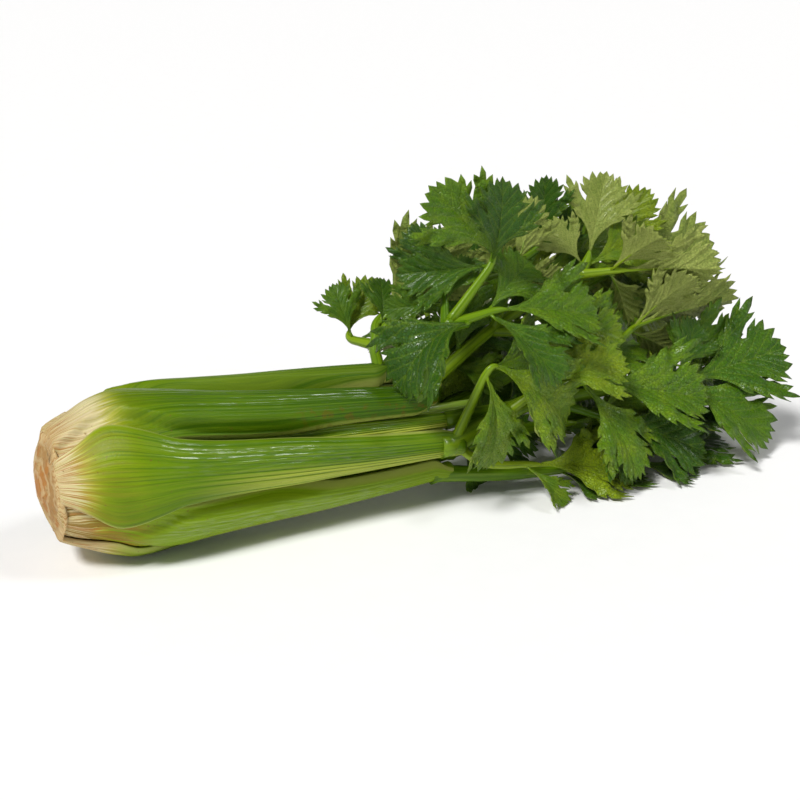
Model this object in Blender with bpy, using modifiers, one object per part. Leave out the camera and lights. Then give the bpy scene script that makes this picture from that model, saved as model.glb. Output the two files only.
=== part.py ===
"""A head of celery, cut at the root and lying on its side.

Eleven ribbed stalks are wrapped round one another on a short butt. Each one ends in a leaf: a leaf stem with
branches, and toothed leaflets on them. Two small rings of stalks and leaves stand round a slim heart.
The head's axis runs along +X from the cut root end. Lengths are in metres and angles in degrees.
"""

import functools
import math
import random

import bpy
import bmesh
import numpy as np
from mathutils import Matrix, Vector
from mathutils.bvhtree import BVHTree
from mathutils.geometry import delaunay_2d_cdt

# Where the head's axis lies: the cut root end, its sideways place, and its height above the surface.
CUT_X = -0.2217
AXIS_Y = -0.0174
AXIS_Z = 0.0430

# Values along the head, as (distance from the cut, value).
HEAD_RADIUS = ((0, 0.0270), (0.008, 0.0312), (0.017, 0.0352), (0.027, 0.0395), (0.041, 0.0432),
               (0.059, 0.0438), (0.080, 0.0423), (0.107, 0.0402), (0.135, 0.0388), (0.163, 0.0372),
               (0.192, 0.0352), (0.216, 0.0335))
HALF_WIDTH = ((0, 0.0112), (0.012, 0.0190), (0.028, 0.0300), (0.045, 0.0252), (0.060, 0.0198),
              (0.080, 0.0178), (0.115, 0.0165), (0.150, 0.0134), (0.185, 0.0110), (0.216, 0.0096))
THICKNESS = ((0, 0.0044), (0.020, 0.0068), (0.050, 0.0088), (0.115, 0.0094), (0.216, 0.0080))
MARGIN_SHARE = ((0, 0.52), (0.020, 0.34), (0.045, 0.26), (0.080, 0.40), (0.216, 0.55))
SHOULDER_DROP = ((0, 0), (0.030, 0.0004), (0.060, 0.0030), (0.115, 0.0062), (0.216, 0.0060))

# Each stalk, outermost first: angle at the butt and at its joint (0 faces -Y, 90 is up), how deep it lies
# under the head's outline at the bulb and above it, its width and thickness against an outer stalk's, its two
# ends, and how thick its leaf stem is against the usual one.
STALKS = {
    "front": (24.5, -8, 0.0000, 0.0000, 1.00, 1.00, 0.0000, 0.2050, 1.10),
    "upper_back": (176, 140, 0.0000, 0.0000, 1.00, 1.00, 0.0000, 0.1960, 0.95),
    "lower_back": (-81, -126, 0.0000, 0.0000, 1.00, 1.00, 0.0000, 0.2050, 0.95),
    "upper_front": (74, 46, -0.0012, 0.0000, 1.00, 1.00, 0.0000, 0.1930, 0.95),
    "back": (228, 188, 0.0000, 0.0000, 1.00, 1.00, 0.0000, 0.2000, 0.95),
    "lower_front": (-30, -62, 0.0012, 0.0000, 1.00, 1.00, 0.0000, 0.2070, 0.95),
    "top": (125, 92, -0.0012, -0.0010, 0.95, 0.95, 0.0000, 0.1790, 0.60),
    "inner_front": (42, 18, 0.0120, 0.0095, 0.66, 0.75, 0.0165, 0.2130, 0.85),
    "inner_top": (130, 106, 0.0125, 0.0120, 0.66, 0.75, 0.0165, 0.2090, 0.80),
    "inner_back": (222, 200, 0.0125, 0.0145, 0.66, 0.75, 0.0165, 0.2120, 0.80),
    "inner_bottom": (-50, -72, 0.0120, 0.0110, 0.66, 0.75, 0.0165, 0.2130, 0.80),
}
STATIONS = (0, 0.005, 0.0105, 0.0165, 0.025, 0.035, 0.047, 0.062, 0.085, 0.118, 0.156)
LAYER_GAP = 0.0007
LAYER_REACH = 6.5
LAYER_BLEND = 8
OUTER_RIBS = 7
INNER_RIBS = 5
RIB_DEPTH = 0.0009
INNER_COLUMNS = 6
FLOOR_GAP = 0.0001

CORE_RADIUS = 0.0190
CORE_DOME = 0.0042
CORE_TOP = 0.0155
HEART_STEMS = ((20, 0.0058, 0.232), (140, 0.0058, 0.246), (260, 0.0058, 0.222))
HEART_STEM_RADIUS = 0.0042

# Leaves: for each stalk, the points of its leaf stem beyond the joint, and its branches. A branch is the
# leaf-stem point it grows from (0 is the joint), its own points, where its end leaflet would reach if it were
# flat, the way that leaflet's upper face looks, the size of the side leaflet on either side against it, and
# how far it droops.
# Points are (along the axis from the cut, sideways from the axis, height above the surface).
LEAVES = {
    "front": (
        ((0.253, -0.027, 0.052), (0.298, -0.023, 0.061)),
        (
            (0, ((0.231, -0.038, 0.085),), (0.284, -0.056, 0.053), (-0.1, -0.85, 0.5), (0.83, 0.83), 40),
            (0, ((0.231, -0.034, 0.026), (0.262, -0.034, 0.020)),
             (0.322, -0.040, 0.012), (0, -0.6, 0.8), (0.77, 0.50), 10),
            (2, ((0.304, -0.026, 0.061),), (0.374, -0.046, 0.043), (0.1, -0.75, 0.65), (0.95, 0.83), 12),
            (2, ((0.330, -0.006, 0.070), (0.352, 0.003, 0.079)),
             (0.424, 0.006, 0.090), (0.2, 0.85, 0.45), (0.66, 0.66), 8),
            (1, ((0.266, -0.036, 0.066),), (0.312, -0.046, 0.082), (-0.1, -0.8, 0.6), (0.66, 0), 20),
        ),
    ),
    "upper_front": (
        ((0.203, -0.023, 0.090), (0.216, -0.021, 0.106)),
        (
            (2, ((0.246, -0.017, 0.136),), (0.208, -0.022, 0.177), (-0.35, -0.90, 0.2), (0.88, 0.88), 15),
            (2, ((0.242, -0.026, 0.110),), (0.302, -0.038, 0.108), (0.1, -0.75, 0.65), (0.88, 0.88), 22),
            (2, ((0.222, -0.033, 0.107),), (0.164, -0.052, 0.114), (0.2, -0.35, 0.92), (0, 0), 105),
            (2, ((0.219, -0.008, 0.116),), (0.201, -0.010, 0.153), (-0.4, -0.9, 0.1), (0.77, 0.66), 10),
        ),
    ),
    "top": (
        ((0.186, 0.010, 0.090), (0.202, 0.022, 0.102), (0.285, 0.036, 0.112)),
        (
            (1, ((0.176, 0.028, 0.088),), (0.196, 0.034, 0.120), (-0.5, -0.8, 0.3), (0.83, 0.83), 15),
            (1, ((0.194, 0.012, 0.099),), (0.224, 0.012, 0.118), (-0.5, -0.8, 0.2), (0.88, 0.88), 20),
            (3, ((0.305, 0.034, 0.124),), (0.304, 0.032, 0.165), (-0.45, -0.85, 0.2), (0.83, 0.83), 10),
            (3, ((0.300, 0.028, 0.112),), (0.350, 0.020, 0.130), (-0.2, -0.8, 0.5), (0.83, 0.83), 15),
        ),
    ),
    "inner_top": (
        ((0.262, 0.008, 0.090), (0.322, 0.014, 0.112)),
        (
            (2, ((0.326, 0.016, 0.119),), (0.338, 0.018, 0.168), (-0.40, -0.88, 0.2), (0.66, 0.94), 10),
            (2, ((0.338, 0.002, 0.114),), (0.394, -0.004, 0.108), (0.2, 0.8, 0.5), (0.77, 0.77), 15),
            (1, ((0.268, 0.002, 0.120),), (0.286, 0.000, 0.160), (0.3, 0.9, 0.2), (0.66, 0.66), 10),
            (1, ((0.278, -0.006, 0.086),), (0.330, -0.020, 0.088), (-0.1, -0.8, 0.6), (0.77, 0.77), 20),
        ),
    ),
    "inner_front": (
        ((0.290, -0.010, 0.046), (0.370, -0.014, 0.049)),
        (
            (2, ((0.376, -0.016, 0.046),), (0.447, -0.022, 0.059), (0.05, -0.75, 0.65), (0.50, 0.95), 8),
            (1, ((0.314, -0.026, 0.036),), (0.372, -0.048, 0.018), (0.1, -0.7, 0.7), (0.77, 0.66), 12),
            (2, ((0.374, -0.004, 0.060),), (0.424, -0.006, 0.070), (-0.1, -0.7, 0.7), (0.72, 0.66), 8),
        ),
    ),
    "lower_front": (
        ((0.262, -0.022, 0.0110), (0.332, -0.026, 0.0085)),
        (
            (2, ((0.338, -0.027, 0.0085),), (0.402, -0.018, 0.012), (0.05, -0.45, 0.9), (0.83, 0.66), 8),
            (1, ((0.286, -0.032, 0.012),), (0.342, -0.036, 0.010), (0, -0.4, 0.9), (0.77, 0.55), 8),
        ),
    ),
    "upper_back": (
        ((0.262, 0.042, 0.078), (0.345, 0.046, 0.094)),
        (
            (2, ((0.356, 0.042, 0.100),), (0.434, 0.034, 0.108), (-0.3, -0.75, 0.55), (0.83, 0.88), 8),
            (2, ((0.350, 0.042, 0.112),), (0.380, 0.036, 0.151), (-0.35, -0.85, 0.3), (0.83, 0.77), 8),
            (1, ((0.294, 0.060, 0.090),), (0.346, 0.086, 0.104), (-0.1, 0.4, 0.9), (0.77, 0.77), 25),
            (0, ((0.216, 0.044, 0.080),), (0.252, 0.070, 0.094), (-0.2, 0.4, 0.9), (0.72, 0.72), 30),
        ),
    ),
    "back": (
        ((0.262, 0.048, 0.044), (0.335, 0.058, 0.050)),
        (
            (2, ((0.342, 0.058, 0.051),), (0.418, 0.064, 0.062), (0.1, 0.75, 0.65), (0.83, 0.83), 12),
            (1, ((0.290, 0.068, 0.040),), (0.346, 0.088, 0.034), (0, 0.65, 0.75), (0.72, 0.72), 18),
            (0, ((0.224, 0.050, 0.050),), (0.272, 0.072, 0.056), (0, 0.6, 0.8), (0, 0.66), 30),
        ),
    ),
    "lower_back": (
        ((0.262, 0.028, 0.0110), (0.330, 0.032, 0.0090)),
        (
            (2, ((0.336, 0.032, 0.0090),), (0.408, 0.030, 0.007), (0, 0.2, 0.98), (0.83, 0.83), 8),
            (1, ((0.286, 0.050, 0.0095),), (0.345, 0.072, 0.009), (0, 0.2, 0.98), (0.72, 0.72), 8),
        ),
    ),
    "inner_back": (
        ((0.290, 0.018, 0.058), (0.362, 0.020, 0.072)),
        (
            (2, ((0.370, 0.020, 0.078),), (0.432, 0.022, 0.104), (-0.2, -0.6, 0.75), (0.83, 0.77), 8),
            (1, ((0.300, 0.010, 0.068),), (0.350, 0.002, 0.086), (-0.2, -0.75, 0.6), (0.77, 0.77), 12),
            (0, ((0.232, 0.016, 0.074),), (0.272, 0.012, 0.098), (-0.3, -0.8, 0.5), (0.77, 0.77), 20),
        ),
    ),
    "inner_bottom": (
        ((0.290, 0.002, 0.027), (0.360, -0.002, 0.026)),
        (
            (2, ((0.366, -0.001, 0.029),), (0.430, 0.002, 0.040), (0, -0.6, 0.8), (0.88, 0.77), 8),
            (1, ((0.300, -0.010, 0.030),), (0.354, -0.022, 0.036), (-0.1, -0.7, 0.7), (0.72, 0.72), 10),
            (0, ((0.236, 0.002, 0.034),), (0.284, -0.004, 0.026), (0, -0.8, 0.6), (0.77, 0.77), 15),
        ),
    ),
}
STEM_RADII = (0.0062, 0.0034)
BRANCH_RADII = (0.0034, 0.0019)
SIDE_ANGLE = 48
SIDE_OFFSET = 0.006
BLADE_THICKNESS = 0.00075
LEAFLET_STALK = 0.0050
SIDE_RADIUS = 0.0012
CLEAR_THICKNESS = 0.0016

# Half of a leaflet's outline, as shares of its length: the wedge, a side lobe and half the end lobe.
HALF_OUTLINE = ((0, 0.018), (0.24, 0.098), (0.40, 0.258), (0.54, 0.415), (0.75, 0.485), (0.60, 0.210),
                (0.80, 0.300), (0.92, 0.140))
INNER_POINTS = ((0.53, 0), (0.46, 0.19), (0.46, -0.19))

COLOURS = {
    "butt": (0.62, 0.46, 0.27),
    "stalk": (0.27, 0.43, 0.05),
    "leaf": (0.06, 0.16, 0.02),
    "heart": (0.55, 0.62, 0.20),
}


def curve_through(pairs):
    """A smooth function through (distance, value) pairs, flat outside them and never past their values."""
    xs = np.array([p[0] for p in pairs], float)
    ys = np.array([p[1] for p in pairs], float)
    steps = np.diff(ys) / np.diff(xs)
    slopes = np.zeros(len(xs))
    same_way = steps[:-1] * steps[1:] > 0
    slopes[1:-1][same_way] = 2 / (1 / steps[:-1][same_way] + 1 / steps[1:][same_way])
    slopes[0], slopes[-1] = steps[0], steps[-1]

    def value(x):
        x = min(max(x, xs[0]), xs[-1])
        i = min(int(np.searchsorted(xs, x, "right")) - 1, len(xs) - 2)
        h = xs[i + 1] - xs[i]
        t = (x - xs[i]) / h
        return float(
            ys[i] * (1 + 2 * t) * (1 - t) ** 2
            + h * slopes[i] * t * (1 - t) ** 2
            + ys[i + 1] * t * t * (3 - 2 * t)
            + h * slopes[i + 1] * t * t * (t - 1)
        )

    return value


head_radius = curve_through(HEAD_RADIUS)
half_width = curve_through(HALF_WIDTH)
thickness = curve_through(THICKNESS)
margin_share = curve_through(MARGIN_SHARE)
shoulder_drop = curve_through(SHOULDER_DROP)


def smooth_step(x):
    x = np.clip(x, 0, 1)
    return x * x * (3 - 2 * x)


def stalk_angle(name, s):
    """The angle of a stalk's middle round the head's axis, in radians. The stalks twist as they rise."""
    at_butt, at_joint = STALKS[name][:2]
    return math.radians(at_butt + (at_joint - at_butt) * s / STALKS["front"][7])


def stalk_reach(name, s):
    """The stalk's own outer radius at its middle, and half the angle that it spans."""
    low, high, wide = STALKS[name][2:5]
    depth = low + (high - low) * smooth_step((s - 0.05) / 0.09)
    radius = head_radius(s) - depth
    return radius, wide * half_width(s) / radius


@functools.cache
def inner_corners(name, s):
    """The corners of a stalk's inner side at this station, as (angles, radii)."""
    angles = stalk_angle(name, s) + stalk_reach(name, s)[1] * np.linspace(-1, 1, INNER_COLUMNS)
    return angles, stalk_surface(name, s, angles)[1]


def inner_side(name, s, angles):
    """The radius of the straight-sided inner side at these angles, taken at its ends beyond them."""
    corners, radii = inner_corners(name, s)
    angles = np.clip(angles, corners[0], corners[-1])
    i = np.clip(np.searchsorted(corners, angles, "right") - 1, 0, len(corners) - 2)
    a, b, near, far = corners[i], corners[i + 1], radii[i], radii[i + 1]
    return near * far * np.sin(b - a) / (near * np.sin(angles - a) + far * np.sin(b - angles))


def stalk_surface(name, s, angles):
    """Outer and inner radius of a stalk at these angles, pressed inside the stalks that wrap it."""
    radius, half = stalk_reach(name, s)
    middle = stalk_angle(name, s)
    t = np.clip((angles - middle) / half, -1, 1)
    outer = radius - shoulder_drop(s) * np.abs(t) ** 2.4
    for other in STALKS:
        if other == name:
            break
        other_middle, other_half = stalk_angle(other, s), stalk_reach(other, s)[1]
        away = (angles - other_middle + math.pi) % (2 * math.pi) - math.pi
        beyond = np.abs(away) - other_half - math.radians(LAYER_REACH)
        cover = smooth_step(1 - beyond / math.radians(LAYER_BLEND))
        under = inner_side(other, s, other_middle + away) - LAYER_GAP
        outer = outer - np.maximum(outer - under, 0) * cover
    margin = margin_share(s)
    wall = STALKS[name][5] * thickness(s) * (margin + (1 - margin) * (1 - np.abs(t) ** 2.2))
    return outer, outer - wall


def head_point(s, angle, radius):
    """A point at this angle and radius round the head's axis, pressed flat where the head lies down."""
    height = AXIS_Z + radius * math.sin(angle)
    return (CUT_X + s, AXIS_Y - radius * math.cos(angle), max(height, FLOOR_GAP))


def placed(point):
    """A point of the LEAVES table in the part's frame."""
    return Vector((CUT_X + point[0], AXIS_Y + point[1], point[2]))


def new_object(name, mesh, collection):
    made = bpy.data.objects.new(name, mesh)
    collection.objects.link(made)
    return made


def mesh_from(name, points, faces):
    mesh = bpy.data.meshes.new(name)
    mesh.from_pydata([tuple(p) for p in points], [], faces)
    mesh.update()
    return mesh


def material(kind):
    """One Principled material for each kind of tissue."""
    made = bpy.data.materials.get(kind) or bpy.data.materials.new(kind)
    made.use_nodes = True
    shader = made.node_tree.nodes["Principled BSDF"]
    shader.inputs["Base Color"].default_value = (*COLOURS[kind], 1)
    shader.inputs["Roughness"].default_value = 0.45
    shader.inputs["Metallic"].default_value = 0
    return made


def stalk_mesh(name):
    """A loft between crescents that change from a wide thin sheath at the butt to a narrow thick rib."""
    start, end = STALKS[name][6:8]
    stations = [s for s in STATIONS if start <= s] + [end - 0.005, end]
    count = OUTER_RIBS if start == 0 else INNER_RIBS
    outer_t = np.linspace(-1, 1, 2 * count + 1)
    inner_t = np.linspace(1, -1, INNER_COLUMNS)
    ribs = RIB_DEPTH * (0.5 - 0.5 * np.cos(math.pi * count * (outer_t + 1)))
    points = []
    for s in stations:
        middle, half = stalk_angle(name, s), stalk_reach(name, s)[1]
        rounding = 0.86 if s == end else 1
        outer = stalk_surface(name, s, middle + half * outer_t)[0] - (RIB_DEPTH - ribs)
        inner = stalk_surface(name, s, middle + half * inner_t)[1]
        core = (outer.max() + inner.min()) / 2
        for t, radius in [*zip(outer_t, outer), *zip(inner_t, inner)]:
            angle = middle + half * t * rounding
            points.append(head_point(s, angle, core + (radius - core) * rounding))
    width = len(outer_t) + len(inner_t)
    faces = []
    for row in range(len(stations) - 1):
        for i in range(width):
            a, b = row * width + i, row * width + (i + 1) % width
            faces += [(a, b, b + width), (a, b + width, a + width)]
    faces.append(tuple(reversed(range(width))))
    faces.append(tuple(range(len(points) - width, len(points))))
    return mesh_from(name, points, faces)


def joint_of(name):
    """The middle of a stalk's upper end, where its leaf grows on."""
    end = STALKS[name][7]
    middle = stalk_angle(name, end)
    outer, inner = stalk_surface(name, end, np.array([middle]))
    return Vector(head_point(end, middle, float(outer[0] + inner[0]) / 2))


def butt_object(collection):
    """The short crown inside the stalks' bases, with its domed cut face, as a turned profile."""
    profile = [(0, CORE_TOP), (CORE_RADIUS * 0.75, CORE_TOP), (CORE_RADIUS * 0.9, CORE_TOP * 0.7)]
    profile.append((CORE_RADIUS, 0.0008))
    steps = 4
    for i in range(1, steps + 1):
        turn = math.pi / 2 * i / steps
        profile.append((CORE_RADIUS * math.cos(turn), -CORE_DOME * math.sin(turn)))
    profile[-1] = (0, -CORE_DOME)
    points = [(CUT_X + s, AXIS_Y + radius, AXIS_Z) for radius, s in profile]
    edges = [(i, i + 1) for i in range(len(points) - 1)]
    mesh = bpy.data.meshes.new("butt")
    mesh.from_pydata(points, edges, [])
    centre = Vector((CUT_X, AXIS_Y, AXIS_Z))
    mesh.transform(Matrix.Translation(-centre))
    butt = new_object("butt", mesh, collection)
    butt.location = centre
    screw = butt.modifiers.new("turn", "SCREW")
    screw.axis = "X"
    screw.steps = screw.render_steps = 20
    screw.use_merge_vertices = True
    screw.merge_threshold = 0.00005
    screw.use_normal_calculate = True
    return butt


def tube_mesh(points, radii):
    """A closed six-sided tube through these points."""
    curve = bpy.data.curves.new("tube", "CURVE")
    curve.dimensions = "3D"
    curve.bevel_depth = 1
    curve.bevel_resolution = 1
    curve.use_fill_caps = True
    spline = curve.splines.new("POLY")
    spline.points.add(len(points) - 1)
    for place, point, radius in zip(spline.points, points, radii):
        place.co = (*point, 1)
        place.radius = radius
    holder = bpy.data.objects.new("tube", curve)
    bpy.context.scene.collection.objects.link(holder)
    mesh = bpy.data.meshes.new_from_object(holder.evaluated_get(bpy.context.evaluated_depsgraph_get()))
    mesh.transform(holder.matrix_world)
    bpy.data.objects.remove(holder)
    bpy.data.curves.remove(curve)
    shape = bmesh.new()
    shape.from_mesh(mesh)
    bmesh.ops.remove_doubles(shape, verts=shape.verts, dist=0.00001)
    bmesh.ops.recalc_face_normals(shape, faces=shape.faces)
    shape.to_mesh(mesh)
    shape.free()
    return mesh


def smooth_path(points, pieces):
    """Points along a Catmull-Rom curve through these points."""
    ends = [2 * points[0] - points[1], *points, 2 * points[-1] - points[-2]]
    path = []
    for a, b, c, d in zip(ends, ends[1:], ends[2:], ends[3:]):
        for i in range(pieces):
            t = i / pieces
            path.append(0.5 * (2 * b + (c - a) * t + (2 * a - 5 * b + 4 * c - d) * t * t
                               + (3 * b - a - 3 * c + d) * t**3))
    return [*path, points[-1]]


def outline_pattern():
    """The flat leaflet: its points, its triangles, and how many of the points are its outline."""
    right = list(HALF_OUTLINE)
    outline = right + [(1, 0)] + [(u, -v) for u, v in reversed(right)]
    flat = [Vector(p) for p in [*outline, *INNER_POINTS]]
    ring = list(range(len(outline)))
    edges = [(i, (i + 1) % len(ring)) for i in ring]
    points, _, faces, _, _, _ = delaunay_2d_cdt(flat, edges, [ring], 1, 1e-6)
    return [tuple(p) for p in points], [tuple(f) for f in faces], len(ring)


PATTERN, PATTERN_FACES, RIM = outline_pattern()


class Leaflet:
    """One leaflet: where its short stem grows from, the way it points and faces, and how it is bent."""

    def __init__(self, root, heading, face, length, droop, seed):
        self.root = root
        self.heading = heading.normalized()
        self.face = (face - self.heading * face.dot(self.heading)).normalized()
        self.length = length
        self.droop = math.radians(droop)
        chance = random.Random(seed)
        self.fold = math.radians(chance.uniform(10, 24))
        self.wave = chance.uniform(0.020, 0.045)
        self.phase = chance.uniform(0, 6.28)
        self.skew = chance.uniform(-0.10, 0.10)
        self.width = chance.uniform(0.90, 1.06)

    def turned(self, pitch, yaw, roll, size):
        """The same leaflet held a little differently."""
        across = self.face.cross(self.heading)
        turn = Matrix.Rotation(math.radians(yaw), 3, self.face)
        turn = turn @ Matrix.Rotation(math.radians(pitch), 3, across)
        turn = turn @ Matrix.Rotation(math.radians(roll), 3, self.heading)
        copy = Leaflet(self.root, turn @ self.heading, turn @ self.face, self.length * size, 0, 0)
        copy.droop, copy.fold, copy.wave = self.droop, self.fold, self.wave
        copy.phase, copy.skew, copy.width = self.phase, self.skew, self.width
        return copy

    def point(self, u, v):
        """Where a point of the flat pattern lies on the bent leaflet."""
        across = self.face.cross(self.heading)
        turn = self.droop * u
        if abs(self.droop) > 0.01:
            along = math.sin(turn) / self.droop
            down = (1 - math.cos(turn)) / self.droop
        else:
            along, down = u, 0.5 * self.droop * u * u
        side = v * self.width * math.cos(self.fold) + self.skew * u * u
        ripple = self.wave * math.sin(7 * u + 4 * v + self.phase)
        lift = abs(v) * math.sin(self.fold) + ripple * min(abs(v) * 2.5, 1)
        along += lift * math.sin(turn)
        rise = lift * math.cos(turn) - down
        place = self.root + self.heading * LEAFLET_STALK
        place += self.length * (self.heading * along + self.face * rise + across * side)
        return Vector((place.x, place.y, max(place.z, 0.0006 + 0.004 * abs(v))))

    def blade(self, wall):
        """The leaflet as a closed blade this thick: its points and faces."""
        middle = [self.point(u, v) for u, v in PATTERN]
        normals = [Vector() for _ in middle]
        for a, b, c in PATTERN_FACES:
            normal = (middle[b] - middle[a]).cross(middle[c] - middle[a])
            for i in (a, b, c):
                normals[i] += normal
        normals = [n.normalized() for n in normals]
        top = [p + n * wall / 2 for p, n in zip(middle, normals)]
        bottom = [p - n * wall / 2 for p, n in zip(middle, normals)]
        count = len(middle)
        faces = [tuple(f) for f in PATTERN_FACES]
        faces += [tuple(i + count for i in reversed(f)) for f in PATTERN_FACES]
        for i in range(RIM):
            j = (i + 1) % RIM
            faces += [(i, j, j + count), (i, j + count, i + count)]
        return top + bottom, faces

    def on_stem(self, path, radii):
        """The blade and its four-sided stem, which follows this path to the leaflet's root, as one mesh."""
        points, faces = self.blade(BLADE_THICKNESS)
        faces = faces[:-2]
        ring = (RIM - 1, 0, len(PATTERN), len(PATTERN) + RIM - 1)
        across, face, before = self.face.cross(self.heading), self.face, self.heading
        stops = [*path, self.root + self.heading * LEAFLET_STALK]
        for i in range(len(path) - 1, -1, -1):
            ahead = (stops[i + 1] - stops[i]).normalized()
            behind = (stops[i] - stops[i - 1]).normalized() if i else ahead
            tangent = (ahead + behind).normalized()
            turn = before.rotation_difference(tangent)
            across, face, before = turn @ across, turn @ face, tangent
            here = len(points)
            if len(path) == 1:
                points.append(stops[0])
                faces += [(ring[k], ring[(k + 1) % 4], here) for k in range(4)]
                return points, faces
            for x, y in ((-1, 1), (1, 1), (1, -1), (-1, -1)):
                points.append(stops[i] + radii[i] * 0.8 * (across * x + face * y))
            following = (here, here + 1, here + 2, here + 3)
            for k in range(4):
                n = (k + 1) % 4
                faces += [(ring[k], ring[n], following[n]), (ring[k], following[n], following[k])]
            ring = following
        faces += [(ring[0], ring[1], ring[2]), (ring[0], ring[2], ring[3])]
        return points, faces


# Ways a leaflet is tried, in order, until it clears its neighbours: pitch, yaw, roll in degrees, and size.
TRIES = [(0, 0, 0, 1)]
for SIZE in (1, 0.86, 0.72, 0.58, 0.47):
    for PITCH, YAW, ROLL in ((9, 0, 0), (-9, 0, 0), (0, 12, 0), (0, -12, 0), (0, 0, 18), (0, 0, -18),
                             (18, 0, 0), (-18, 0, 0), (12, 18, 12), (12, -18, -12), (-12, 18, -12),
                             (-12, -18, 12), (0, 28, 20), (0, -28, -20), (26, 0, 25), (26, 0, -25),
                             (-26, 0, 25), (-26, 0, -25)):
        TRIES.append((PITCH, YAW, ROLL, SIZE))


def tree_of(points, faces):
    return BVHTree.FromPolygons([tuple(p) for p in points], faces)


def tree_of_mesh(mesh):
    return tree_of([v.co for v in mesh.vertices], [tuple(f.vertices) for f in mesh.polygons])


def outer_tree(leaflet, wall):
    """A search tree of the blade without its stem end, which may meet the leaflets beside it."""
    points, faces = leaflet.blade(wall)
    places = [u for u, _ in PATTERN] * 2
    return tree_of(points, [face for face in faces if max(places[i] for i in face) > 0.1])


def is_clear(leaflet, stem, others, siblings):
    """Whether a leaflet, made a little thick, stays clear of other leaves and of its siblings' blades."""
    tree = tree_of(*leaflet.blade(CLEAR_THICKNESS))
    whole = leaflet.on_stem(*stem)
    whole_tree = tree_of(*whole)
    for other in others:
        if tree.overlap(other) or whole_tree.overlap(other):
            return False
        if any(other.find_nearest(point, 0.0006)[0] for point in whole[0]):
            return False
    outer = outer_tree(leaflet, CLEAR_THICKNESS)
    return not any(outer.overlap(sibling) for sibling in siblings)


def leaf_stem(name):
    """A leaf stem's middle line from the joint, its radii, and the points its branches grow from."""
    joint = joint_of(name)
    scale = STALKS[name][8]
    nodes = [joint + Vector((0.006, 0, 0)), *[placed(p) for p in LEAVES[name][0]]]
    line = [joint + Vector((0.0005, 0, 0)), *smooth_path(nodes, 2)]
    low, high = STEM_RADII
    count = len(line) - 1
    return line, [scale * (low + (high - low) * i / count) for i in range(count + 1)], nodes


def branch_lines(name):
    """Each branch's middle line, where its end leaflet points, and the way that looks."""
    nodes = leaf_stem(name)[2]
    for number, (at, points, tip, face, shares, droop) in enumerate(LEAVES[name][1]):
        along = (nodes[at] - nodes[at - 1]).normalized() if at else Vector((-1, 0, 0))
        root = nodes[at] - along * (0.0022 + 0.0013 * number)
        line = smooth_path([root, *[placed(p) for p in points]], 2)
        yield line, placed(tip), Vector(face), shares, droop


def branch_radii(line):
    low, high = BRANCH_RADII
    count = len(line) - 1
    return [low + (high - low) * i / count for i in range(count + 1)]


def branch_leaflets(name, number, line, tip, face, shares, droop):
    """The end leaflet of a branch and the two beside it, each with the path and radii of its stem."""
    base = line[-1]
    seed = 100 * list(LEAVES).index(name) + 10 * number
    end = Leaflet(base, tip - base, face, (tip - base).length - LEAFLET_STALK, droop, seed)
    yield end, line, branch_radii(line)
    foot = base + (line[-2] - base).normalized() * SIDE_OFFSET
    for way, share in zip((1, -1), shares):
        if share:
            turn = Matrix.Rotation(math.radians(way * SIDE_ANGLE), 3, end.face)
            heading = turn @ end.heading
            look = Matrix.Rotation(math.radians(way * 14), 3, heading) @ end.face
            side = Leaflet(foot, heading, look, end.length * share, droop + 12, seed + 2 + way)
            yield side, [foot], [SIDE_RADIUS]


def heart_lines():
    """The middle lines of the slim stalks in the middle."""
    for angle, radius, end in HEART_STEMS:
        turn = math.radians(angle)
        y, z = -radius * math.cos(turn), radius * math.sin(turn)
        foot = Vector((CUT_X + 0.018, AXIS_Y + y, AXIS_Z + z))
        top = Vector((CUT_X + end, AXIS_Y + y, AXIS_Z + z))
        yield [foot, (foot + top) / 2 + Vector((0, 0.3 * y, 0.3 * z)), top]


def plan_leaves():
    """Every leaf's pieces, with each leaflet held so that it clears the other stalks and leaves."""
    trees = {name: [tree_of_mesh(stalk_mesh(name))] for name in STALKS}
    stems = {}
    for name in LEAVES:
        line, radii, _ = leaf_stem(name)
        stems[name] = tube_mesh(line, radii)
        guards = [tube_mesh(line, [r * 1.35 for r in branch_radii(line)]) for line, *_ in branch_lines(name)]
        trees["leaf_" + name] = [tree_of_mesh(mesh) for mesh in [stems[name], *guards]]
    radii = [HEART_STEM_RADIUS, HEART_STEM_RADIUS, HEART_STEM_RADIUS * 0.6]
    heart = [tube_mesh(line, radii) for line in heart_lines()]
    trees["heart"] = [tree_of_mesh(mesh) for mesh in heart]
    leaflets = {}
    for name in LEAVES:
        leaflets[name] = []
        blades = []
        for number, branch in enumerate(branch_lines(name)):
            for leaflet, path, radii in branch_leaflets(name, number, *branch):
                held = first_clear(leaflet, (path, radii), trees, "leaf_" + name, blades)
                if held:
                    leaflets[name].append((held, path, radii))
                    blades.append(outer_tree(held, BLADE_THICKNESS))
                    trees["leaf_" + name].append(tree_of(*held.on_stem(path, radii)))
                elif len(path) > 1:
                    break
    return stems, leaflets, heart


def first_clear(leaflet, stem, trees, own, siblings):
    """The leaflet in the first way of holding it that is clear, or None."""
    others = [tree for name in trees if name != own for tree in trees[name]]
    for pitch, yaw, roll, size in TRIES:
        held = leaflet.turned(pitch, yaw, roll, size)
        if is_clear(held, stem, others, siblings):
            return held
    return None


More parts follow.
